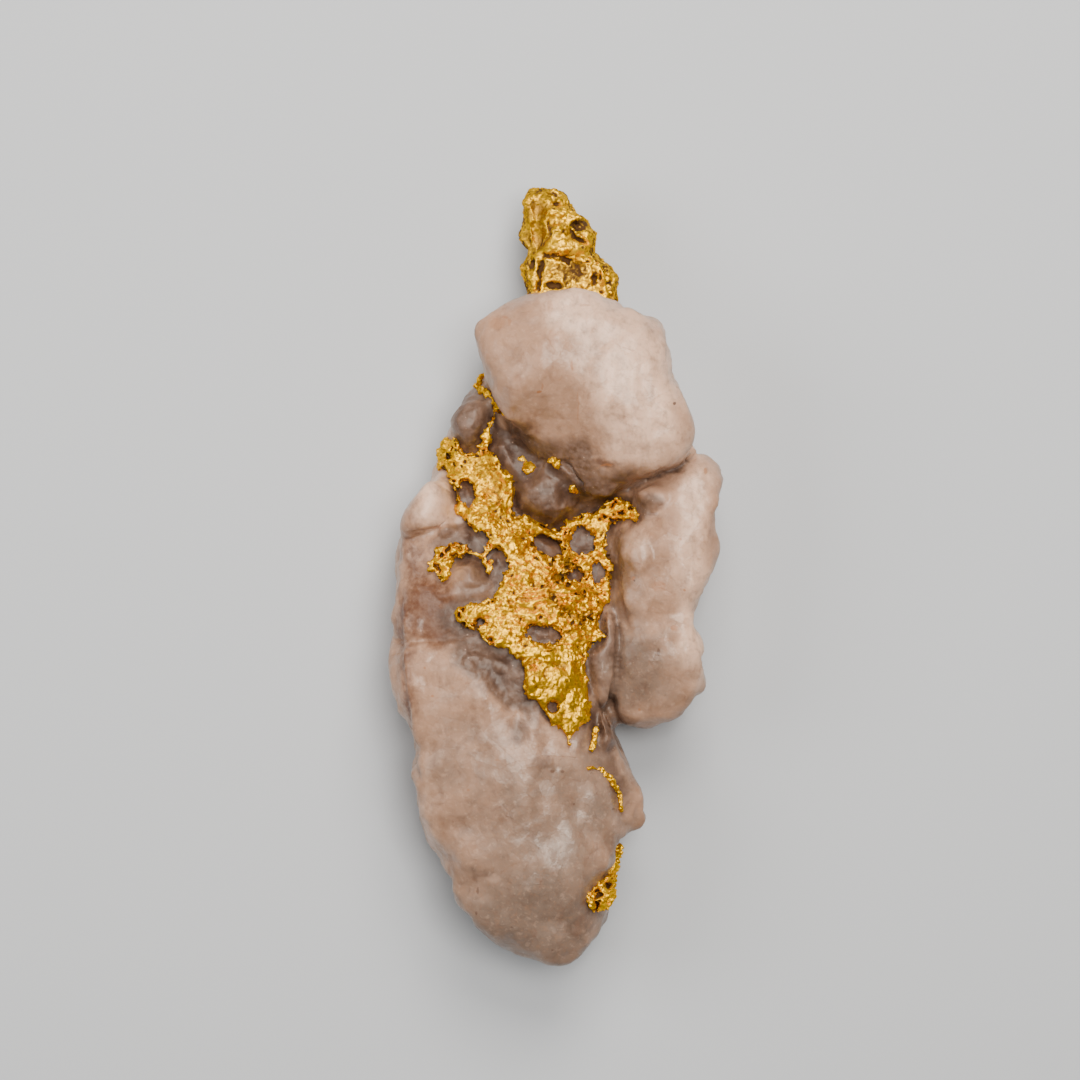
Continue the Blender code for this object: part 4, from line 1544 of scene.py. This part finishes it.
    # the seams' grooves are also painted smoky, as painted shade
    seams: tuple[Line, ...] = (
        Line(
            (
                (-2.5, 4.0),
                (-3.4, 5.4),
                (-3.4, 7.0),
                (-2.5, 8.4),
                (-0.8, 9.0),
                (0.9, 8.4),
                (1.9, 7.0),
                (1.9, 5.2),
            ),
            0.24,
            0.5,
        ),
        Line(((4.3, -6.4), (6.0, -6.0), (8.2, -6.1)), 0.4, 0.04),
        Line(((1.7, 14.2), (1.9, 10.6)), 0.25, 0.06),
        Line(
            ((3.4, 5.4), (4.3, 6.0), (5.5, 6.5), (6.8, 7.2), (8.2, 7.9), (9.6, 8.3), (10.7, 9.2)),
            0.32,
            0.55,
        ),
        Line(((4.2, -10.8), (4.9, -8.0), (5.0, -4.4), (4.5, -2.4)), 0.26, 0.4),
    )
    facets: tuple[Facet, ...] = (Facet(0.0, 8.4, 11.6, 49.5, 0.75, 4.6),)
    boulders: tuple[Boulder, ...] = (
        Boulder(-0.8, 6.1, 9.7, 2.7, 2.75, 2.0),
        Boulder(-4.2, 9.0, 9.0, 1.3, 2.6, 1.9, 34.0),
        Boulder(-7.0, 12.6, 9.0, 1.5, 2.0, 1.3, 20.0),
        Boulder(-6.4, 10.4, 8.6, 1.1, 1.2, 1.4),
        Boulder(-8.5, 3.2, 11.0, 0.9, 0.9, 1.1),
        Boulder(-7.4, 3.9, 10.2, 0.8, 0.9, 1.1),
        Boulder(-6.2, 3.0, 10.8, 0.8, 0.7, 1.0),
        Boulder(-9.3, 2.5, 10.8, 0.8, 0.6, 0.9),
        Boulder(-6.6, -0.3, 12.2, 1.5, 1.3, 1.3),
        Boulder(-8.3, -1.4, 12.4, 1.2, 1.0, 0.9),
        Boulder(-4.7, 0.9, 11.0, 0.9, 1.4, 1.2),
        Boulder(6.8, 1.4, 11.4, 1.4, 1.7, 1.3),
        Boulder(8.0, 5.7, 10.8, 1.5, 1.4, 1.2, -30.0),
        Boulder(3.5, -6.6, 10.7, 1.45, 4.0, 1.1, 0.0, 0.6),
        Boulder(3.6, -12.6, 10.6, 0.9, 1.9, 1.3, 10.0),
    )
    corners: tuple[Dent, ...] = (
        Dent(-5.8, 19.2, 0.9, 0.8, -0.5),
        Dent(-5.9, 16.4, 0.8, 1.0, 0.25),
        Dent(6.0, 20.8, 1.2, 0.9, 0.25),
        Dent(8.2, 19.4, 0.9, 0.9, -0.3),
        Dent(9.2, 15.6, 0.6, 0.5, 0.25),
        Dent(10.9, 9.7, 0.6, 0.8, 0.35),
        Dent(12.9, 7.7, 0.9, 0.9, -0.35),
        Dent(12.3, 5.5, 0.7, 0.8, 0.3),
        Dent(12.5, 1.9, 0.8, 1.6, -0.15),
        Dent(10.8, -3.7, 0.8, 0.9, 0.35),
        Dent(11.2, -5.6, 0.7, 0.7, -0.2),
        Dent(11.1, -7.0, 0.6, 0.6, 0.25),
        Dent(11.4, -8.7, 0.8, 0.7, -0.3),
        Dent(10.9, -10.4, 1.2, 0.9, 0.55),
        Dent(7.6, -12.2, 1.0, 0.7, -0.2),
        Dent(-12.2, 4.5, 0.9, 0.9, -0.25),
        Dent(-12.9, -3.0, 0.6, 0.7, -0.2),
        Dent(-12.5, -4.4, 0.6, 0.6, 0.25),
        Dent(-11.2, -15.7, 0.6, 0.7, -0.2),
        Dent(-8.3, -23.2, 0.8, 0.8, -0.25),
        Dent(-7.9, -24.8, 0.7, 0.8, 0.25),
        Dent(6.5, -19.8, 0.8, 0.7, -0.4),
        Dent(5.1, -21.6, 0.7, 0.7, 0.35),
    )

    def bed_filler(self, node: str) -> bpy.types.Object:
        """Copies a piece of the gold swollen, so that it bridges the gap round it.

        Args:
            node: The gold's node.

        Returns:
            The copy.
        """
        filler = merged_copy(node, "bed")
        relief = Relief(filler)
        relief.places += relief.normals * self.bed_spread
        relief.places[:, 1] = np.minimum(relief.places[:, 1], self.crown_shelf)
        relief.write()
        return filler

    def whole_ground(self) -> bpy.types.Object:
        """Closes the beds, so that the ground runs on under the gold.

        Returns:
            The stone, fused with the gold's copies, whose skin is then drawn tight across each of them.
        """
        nodes = [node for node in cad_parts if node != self.node]
        stone = join([merged_copy(self.node, self.name), *(self.bed_filler(node) for node in nodes)])
        fuse(stone, self.rough_skin)
        relief = Relief(stone)
        gap = gap_to([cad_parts[node] for node in nodes], relief.places)
        shelf = relief.places[:, 1] > self.crown_shelf - 0.1
        loose = (gap < self.bed_reach) | shelf
        top = level_of(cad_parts[self.sheet_node], relief.places)
        under = loose & (top > 0.0) & (relief.normals[:, 2] > 0.0)
        relief.places[under, 2] = top[under] - self.sheet_rise
        relief.draw_tight(loose & ~under, self.bed_passes)
        return stone

    def refine_recess(self, stone: bpy.types.Object) -> None:
        """Gives the recess, where the small crystals are, faces of half the size.

        Args:
            stone: The mass.
        """
        middles = np.empty(len(stone.data.polygons) * 3, np.float32)
        stone.data.polygons.foreach_get("center", middles)
        places = middles.reshape(-1, 3) / MM
        inside = (self.sum_of(self.smoke, places) > self.recess_smoke) & (places[:, 2] > self.recess_floor)
        select_only(stone)
        bpy.ops.object.mode_set(mode="EDIT")
        bpy.ops.mesh.select_mode(type="FACE")
        bpy.ops.mesh.select_all(action="DESELECT")
        bpy.ops.object.mode_set(mode="OBJECT")
        stone.data.polygons.foreach_set("select", inside)
        bpy.ops.object.mode_set(mode="EDIT")
        bpy.ops.mesh.subdivide(number_cuts=1, smoothness=0.0)
        bpy.ops.object.mode_set(mode="OBJECT")

    def sum_of(self, patches: Iterable[Patch], places: np.ndarray) -> np.ndarray:
        """Lays patches over one another.

        Args:
            patches: The patches.
            places: The places in mm.

        Returns:
            How strong they are together at each place, 0 to 1.
        """
        clear = np.ones(len(places))
        for patch in patches:
            clear *= 1.0 - np.clip(patch.over(places), 0.0, 1.0)
        return 1.0 - clear

    def carve(self, relief: Relief, smoky: np.ndarray, gap: np.ndarray) -> None:
        """Gives the lobes their edges, faces, chips, ledges and seams, and the recess its small crystals.

        Args:
            relief: The mass.
            smoky: How smoky each place is.
            gap: How far each place is from the gold in mm.
        """
        clear = rise(gap, 0.3, 1.6)
        self.square_up(relief, (1.0 - smoky) * clear)
        self.trim(relief, gap)
        upward = rise(relief.normals[:, 2], 0.0, 0.5)
        relief.ease(rise(gap, 2.2, 1.0) * upward * 0.85, self.bank_passes)
        for boulder in self.boulders:
            relief.places[:, 2] += boulder.over(relief.places) * upward * rise(gap, 0.1, boulder.clearance)
        relief.ease(smoky, self.boulder_passes)
        relief.ease(self.sum_of(self.blends, relief.places), self.blend_passes)
        relief.write()
        relief.push(-sum(corner.over(relief.places) for corner in self.corners) * (1.0 - upward))
        self.chip(relief, clear)
        step = sum(line.depth * line.ledge(relief.places, reach) for line, reach in self.ledges)
        cut = sum(line.depth * line.groove(relief.places) for line in self.seams)
        cut += sum(dent.over(relief.places) for dent in self.dents)
        relief.push((step - cut) * upward * (0.1 + 0.9 * clear))
        crystals = relief.field(scallops(1.9, 5.0)) - 0.5
        small = relief.field(nodules(0.8, 0.4, 16.0)) - 0.55
        relief.push((0.05 * small - 0.12 * crystals) * smoky * clear)
        relief.push(-self.moat * np.exp(-((gap / self.moat_reach) ** 2)) * upward)
        relief.push(self.grit * relief.field(swell(0.8, 3, 21.0)) * (0.6 + smoky))
        relief.places[:, 2] = np.maximum(relief.places[:, 2], 0.0)
        relief.write()

    def square_up(self, relief: Relief, share: np.ndarray) -> None:
        """Makes the lobes turn more sharply at their edges, by filling out their shoulders.

        Args:
            relief: The mass.
            share: How much each place is filled out, 0 to 1.
        """
        facing = relief.averaged(relief.normals, self.facing_passes)
        facing /= np.linalg.norm(facing, axis=1)[:, None]
        shoulder = rise(facing[:, 2], 0.02, 0.45) * (1.0 - rise(facing[:, 2], 0.6, 0.98))
        crest = 1.0 - rise(relief.hollow(*self.lobe_hollow), 0.0, 0.5)
        filling = self.squareness * relief.averaged(shoulder * crest * share, self.shoulder_passes)
        relief.places += facing * filling[:, None]
        relief.write()

    def trim(self, relief: Relief, gap: np.ndarray) -> None:
        """Trims the flat faces off the lobes, and smooths what they bare.

        Args:
            relief: The mass.
            gap: How far each place is from the gold in mm.
        """
        cut = sum(facet.over(relief.places) for facet in self.facets) * rise(gap, 0.0, 0.8)
        cut = relief.averaged(cut * rise(relief.normals[:, 2], -0.4, 0.3), 8)
        relief.places[:, 2] -= cut
        relief.ease(rise(cut, 0.2, 0.6), self.facet_passes)
        relief.write()

    def chip(self, relief: Relief, clear: np.ndarray) -> None:
        """Gives the lobes soft swells, shell-shaped chips and dimples.

        Args:
            relief: The mass.
            clear: How clear of the gold each place is, 0 to 1.
        """
        flank = 1.0 - 0.72 * rise(relief.normals[:, 2], 0.45, 0.85)
        swelling = 0.16 * relief.field(swell(5.0, 2, 3.0)) + 0.08 * relief.field(swell(1.9, 2, 13.0))
        chips = 0.36 * (relief.field(scallops(4.2, 2.0)) - SCALLOP_MEAN)
        chips = chips + 0.15 * (relief.field(scallops(1.7, 8.0)) - SCALLOP_MEAN)
        dimples = 0.055 * (relief.field(scallops(1.25, 31.0)) - SCALLOP_MEAN)
        relief.push((swelling + chips * flank + dimples) * clear)

    def stain(self, relief: Relief, gap: np.ndarray) -> None:
        """Paints where the quartz is smoky, rusty or milky, with painted shade where dusky, hollow or
        close to the gold.

        Args:
            relief: The mass.
            gap: How far each place is from the gold in mm.
        """
        upward = rise(relief.normals[:, 2], -0.2, 0.3)
        broad = wander(relief.places, *self.stain_edge)
        # Painted shade: along the seams' grooves, in the hollows, in the deep patches and beside the gold
        groove_shade = sum(line.depth * line.groove(relief.places) for line in self.seams)
        relief.paint(Layer.NEAR_GOLD, np.exp(-gap / self.gold_shade_reach))
        relief.paint(Layer.HOLLOW, relief.hollow(*self.wide_hollow))
        relief.paint(Layer.SMOKE, np.maximum(self.sum_of(self.smoke, broad), 1.2 * groove_shade) * upward)
        relief.paint(Layer.RUST, self.sum_of(self.rust, broad) * upward)
        relief.paint(Layer.DEEP, self.sum_of(self.deep, broad))
        relief.paint(Layer.FACE, rise(relief.normals[:, 2], 0.2, 0.55))
        # The milk patches are partly painted highlight, the dusk patches painted shade
        relief.paint(Layer.MILK, self.sum_of(self.milk, broad))
        relief.paint(Layer.DUSK, self.sum_of(self.dusk_shade, broad))

    def build(self, finish: bpy.types.Material, gold: Sequence[bpy.types.Object]) -> bpy.types.Object:
        """Builds and dresses the mass.

        Args:
            finish: The quartz's material.
            gold: The finished pieces of gold.

        Returns:
            The piece.
        """
        stone = self.whole_ground()
        fuse(stone, self.skin)
        soften(stone, self.softening)
        self.refine_recess(stone)
        relief = Relief(stone)
        smoky = self.sum_of(self.smoke, relief.places)
        gap = gap_to(gold, relief.places)
        self.carve(relief, smoky, gap)
        self.stain(relief, gap)
        dress(stone, self.node, finish)
        return stone


# Studio


@dataclass(frozen=True)
class Softbox:
    """A square soft light that points at the specimen. Lengths are in mm."""

    name: str
    place: tuple[float, float, float]
    side: float
    power: float
    colour: Colour = (1.0, 1.0, 1.0)

    def set_up(self, target: Vector) -> None:
        """Adds the light.

        Args:
            target: The place that it points at, in metres.
        """
        bpy.ops.object.select_all(action="DESELECT")
        spot = Vector(self.place) * MM
        aim = (target - spot).to_track_quat("-Z", "Y").to_euler()
        bpy.ops.object.light_add(type="AREA", location=spot, rotation=aim)
        light = bpy.context.active_object
        light.name = self.name
        light.data.shape = "SQUARE"
        light.data.size = self.side * MM
        light.data.energy = self.power
        light.data.color = self.colour


@dataclass
class Studio:
    """The pale table, the soft lights and the camera over the specimen. Lengths are in mm."""

    table_side: float = 3000.0
    table_drop: float = 0.02
    view_middle: Point = (-1.28, 2.64)
    view_side: float = 86.4
    view_level: float = 7.0
    lens: float = 135.0
    sensor: float = 36.0
    clip_start: float = 10.0
    room: Colour = (0.125, 0.115, 0.105)
    lights: tuple[Softbox, ...] = (
        Softbox("key_light", (30.0, 140.0, 210.0), 120.0, 0.6, (1.0, 0.89, 0.78)),
        Softbox("fill_light", (-210.0, 30.0, 200.0), 150.0, 0.35, (1.0, 0.92, 0.84)),
        Softbox("front_light", (60.0, 40.0, 420.0), 130.0, 1.3, (1.0, 0.90, 0.80)),
    )

    def set_up(self) -> None:
        """Sets the whole studio up."""
        self.lay_table()
        target = Vector((*self.view_middle, self.view_level)) * MM
        for light in self.lights:
            light.set_up(target)
        self.place_camera()
        self.tone_world()

    def lay_table(self) -> None:
        """Lays the table top just under the specimen."""
        bpy.ops.object.select_all(action="DESELECT")
        bpy.ops.mesh.primitive_grid_add(x_subdivisions=8, y_subdivisions=8, size=self.table_side * MM)
        table = bpy.context.active_object
        table.name = "table_top"
        bpy.ops.object.mode_set(mode="EDIT")
        bpy.ops.mesh.select_all(action="SELECT")
        bpy.ops.transform.translate(value=(0.0, 0.0, -self.table_drop * MM))
        bpy.ops.object.mode_set(mode="OBJECT")
        table.data.materials.append(PaleTable().material())

    def place_camera(self) -> None:
        """Looks straight down on the specimen, its crown at the top of the frame."""
        height = self.view_level + self.lens * self.view_side / self.sensor
        place = Vector((*self.view_middle, height)) * MM
        bpy.ops.object.camera_add(location=place, rotation=(0.0, 0.0, 0.0))
        camera = bpy.context.active_object
        camera.name = "camera"
        camera.data.lens = self.lens
        camera.data.sensor_width = self.sensor
        camera.data.clip_start = self.clip_start * MM
        bpy.context.scene.camera = camera

    def tone_world(self) -> None:
        """Makes the room round the table an even grey."""
        world = bpy.data.worlds.new("room")
        world.use_nodes = True
        background = world.node_tree.nodes["Background"]
        background.inputs["Color"].default_value = (*self.room, 1.0)
        bpy.context.scene.world = world


def gold_pieces() -> list[Gold]:
    """Lists the gold with the sizes of each piece.

    Returns:
        The pieces, from the crown down.
    """
    crown = Crown(
        "gold_crown",
        "crown",
        rounding=2,
        nub_count=1,
        swelling=0.05,
        nodule=0.5,
        nodule_depth=0.06,
        pit_depth=0.1,
        pit_share=0.16,
        crease_depth=0.02,
        crack_grime=0.06,
        grime=0.4,
        # painted shade on the crown's steep sides, in the dirt colour
        flank_shade=0.66,
        flank=(0.2, 0.95),
        seed=3,
        dirt_patches=(
            Patch(1.75, 27.75, 0.6, 0.42),
            Patch(1.5, 26.8, 0.3, 0.5, 30.0, 0.8),
            Patch(-1.2, 24.5, 0.4, 0.6),
            Patch(-1.4, 23.2, 0.14, 0.8, 0.0, 0.6),
            Patch(-2.0, 24.7, 0.3, 0.4, 0.0, 0.6),
            Patch(1.1, 23.9, 1.4, 1.0, 0.0, 0.5),
            Patch(-0.6, 23.6, 0.5, 0.7, 0.0, 0.3),
            Patch(2.3, 22.6, 0.6, 0.5, 0.0, 0.35),
            Patch(-1.7, 26.2, 0.8, 0.7, 0.0, 0.2),
            Patch(2.0, 24.2, 1.0, 0.7, 30.0, 0.3),
            Patch(0.2, 22.6, 1.2, 0.5, 0.0, 0.4),
            Patch(-2.5, 27.0, 0.25, 1.4, 0.0, 0.25),
            Patch(-0.2, 22.9, 0.7, 0.3, 0.0, 0.8),
            Patch(3.1, 23.4, 0.3, 0.5, 0.0, 0.8),
            Patch(3.9, 24.3, 0.2, 0.5, 20.0, 0.8),
            Patch(4.4, 22.7, 0.18, 1.2, 12.0, 0.7),
            Patch(-0.1, 30.2, 0.5, 0.18, -20.0, 0.9),
            Patch(0.0, 29.4, 0.35, 0.12, 8.0, 0.6),
            Patch(-1.2, 30.5, 0.2, 0.12, 0.0, 0.6),
            Patch(-2.0, 29.6, 0.2, 0.15, 0.0, 0.6),
            Patch(-0.8, 29.3, 0.18, 0.15, 0.0, 0.6),
            Patch(2.5, 24.8, 0.15, 0.12, 0.0, 0.7),
        ),
        smooth_patches=(Patch(-1.6, 28.8, 1.0, 1.6), Patch(-1.6, 26.7, 1.1, 1.4)),
    )
    sheet = Sheet(
        "gold_sheet",
        "crackled_sheet",
        skin=0.1,
        nub_count=900,
        nub_radius=(0.09, 0.2),
        pit_depth=0.28,
        crease_depth=0.06,
        fray=0.95,
        polish=0.5,
        seed=5,
        gaps=(
            Dent(-9.0, 1.4, 0.3, 0.16, 1.1, 30.0),
            Dent(-8.5, 2.0, 0.16, 0.3, 1.1, -20.0),
            Dent(-8.0, 1.3, 0.3, 0.2, 1.1, -40.0),
            Dent(-7.6, 2.1, 0.18, 0.32, 1.1, 15.0),
            Dent(-7.2, 1.3, 0.28, 0.16, 1.1, 20.0),
            Dent(-9.3, 0.4, 0.16, 0.32, 1.1, 30.0),
            Dent(-9.8, 1.8, 0.2, 0.42, 1.1, 10.0),
            Dent(-7.8, 0.7, 0.4, 0.22, 1.1),
            Dent(-9.2, 2.6, 0.4, 0.2, 1.1, 20.0),
            Dent(-6.7, 1.9, 0.3, 0.16, 1.1),
            Dent(3.0, 5.0, 0.16, 0.22, 1.1, 30.0),
            Dent(3.8, 4.6, 0.22, 0.14, 1.1),
            Dent(4.6, 5.5, 0.16, 0.24, 1.1, -30.0),
            Dent(5.2, 4.8, 0.24, 0.14, 1.1, 10.0),
            Dent(4.4, 4.2, 0.3, 0.16, 1.1, -20.0),
            Dent(-8.6, 9.4, 0.2, 0.3, 1.1, 20.0),
            Dent(-9.0, 8.2, 0.18, 0.26, 1.1),
            Dent(-5.9, -3.75, 0.36, 0.26, 1.1),
            Dent(-7.2, -4.1, 0.2, 0.32, 1.1, 30.0),
            Dent(-6.5, -4.7, 0.28, 0.15, 1.1, -30.0),
            Dent(-5.1, -5.2, 0.22, 0.16, 1.1),
            Dent(-7.4, -2.9, 0.22, 0.14, 1.1),
        ),
        thinned=(
            Patch(-6.0, 15.6, 1.1, 1.8, 30.0, 0.2),
            Patch(-4.9, 13.4, 1.4, 1.0, 0.0, 0.14),
            Patch(-5.4, 11.2, 0.9, 1.6, -20.0, 0.19),
            Patch(-6.4, 1.9, 1.2, 1.4, 0.0, 0.14),
            Patch(-8.9, 1.2, 1.4, 1.6, 0.0, 0.16),
            Patch(-9.0, 9.4, 0.8, 1.6, 0.0, 0.06),
        ),
        dirt_patches=(
            Patch(-5.6, 8.3, 1.3, 1.1, 0.0, 0.4),
            Patch(-4.6, 6.0, 1.1, 1.8, 20.0, 0.45),
            Patch(-3.9, 4.2, 0.8, 0.8, 0.0, 0.3),
            Patch(-7.6, 9.2, 0.8, 1.2, 0.0, 0.45),
            Patch(1.6, 0.4, 1.1, 0.7, 0.0, 0.15),
            Patch(-0.6, -7.3, 1.6, 0.5, 0.0, 0.3),
            Patch(-9.2, 2.4, 1.2, 1.2, 0.0, 0.35),
        ),
        smooth_patches=(
            Patch(0.3, -10.0, 3.2, 3.6),
            Patch(-0.4, 3.1, 1.0, 0.4, -25.0),
            Patch(-4.4, 6.8, 1.3, 2.4, 20.0, 0.8),
            Patch(-5.2, 9.6, 0.8, 0.6, 0.0, 0.7),
        ),
    )
    fine = {"skin": 0.07, "pit_depth": 0.12, "nodule": 0.3, "nodule_depth": 0.08}
    small = [
        Gold(
            "gold_fleck_left",
            "fleck_left",
            lift=0.38,
            nub_count=26,
            nub_radius=(0.09, 0.16),
            swelling=0.06,
            seed=11,
            **fine,
        ),
        Gold(
            "gold_fleck_middle",
            "fleck_middle",
            nub_count=10,
            nub_radius=(0.06, 0.12),
            swelling=-0.06,
            seed=12,
            **fine,
        ),
        Gold(
            "gold_fleck_right",
            "fleck_right",
            lift=0.16,
            nub_count=10,
            nub_radius=(0.06, 0.12),
            swelling=0.08,
            seed=13,
            **fine,
        ),
        Gold(
            "gold_thread_middle",
            "thread_middle",
            lift=0.14,
            nub_count=90,
            nub_radius=(0.05, 0.11),
            seed=14,
            thinned=(Patch(3.0, -13.0, 4.0, 4.0, 0.0, 0.16),),
            **fine,
        ),
        Gold(
            "gold_thread_long",
            "thread_long",
            lift=0.16,
            nub_count=110,
            nub_radius=(0.07, 0.15),
            swelling=-0.02,
            seed=15,
            thinned=(Patch(4.0, -17.0, 9.0, 9.0, 0.0, 0.17),),
            **fine,
        ),
        Gold(
            "gold_flank_patch",
            "flank_patch",
            nub_count=140,
            nub_radius=(0.08, 0.18),
            seed=16,
            gaps=(
                Dent(3.3, -25.4, 0.26, 0.34, 1.3, 20.0),
                Dent(4.1, -24.7, 0.26, 0.26, 1.3),
                Dent(3.2, -26.3, 0.16, 0.4, 1.3),
            ),
        ),
    ]
    return [crown, sheet, *small]


def main() -> None:
    """Sets up the studio and builds the specimen, the gold first."""
    noise.seed_set(NOISE_SEED)  # otherwise the vector noise takes its seed from the clock
    logging.basicConfig(level=logging.INFO, format="%(name)s: %(message)s")
    Studio().set_up()
    gold_finish = NativeGold().material()
    gold = [piece.build(gold_finish) for piece in gold_pieces()]
    Quartz().build(MilkyQuartz().material(), gold)


if __name__ == "__main__":
    main()
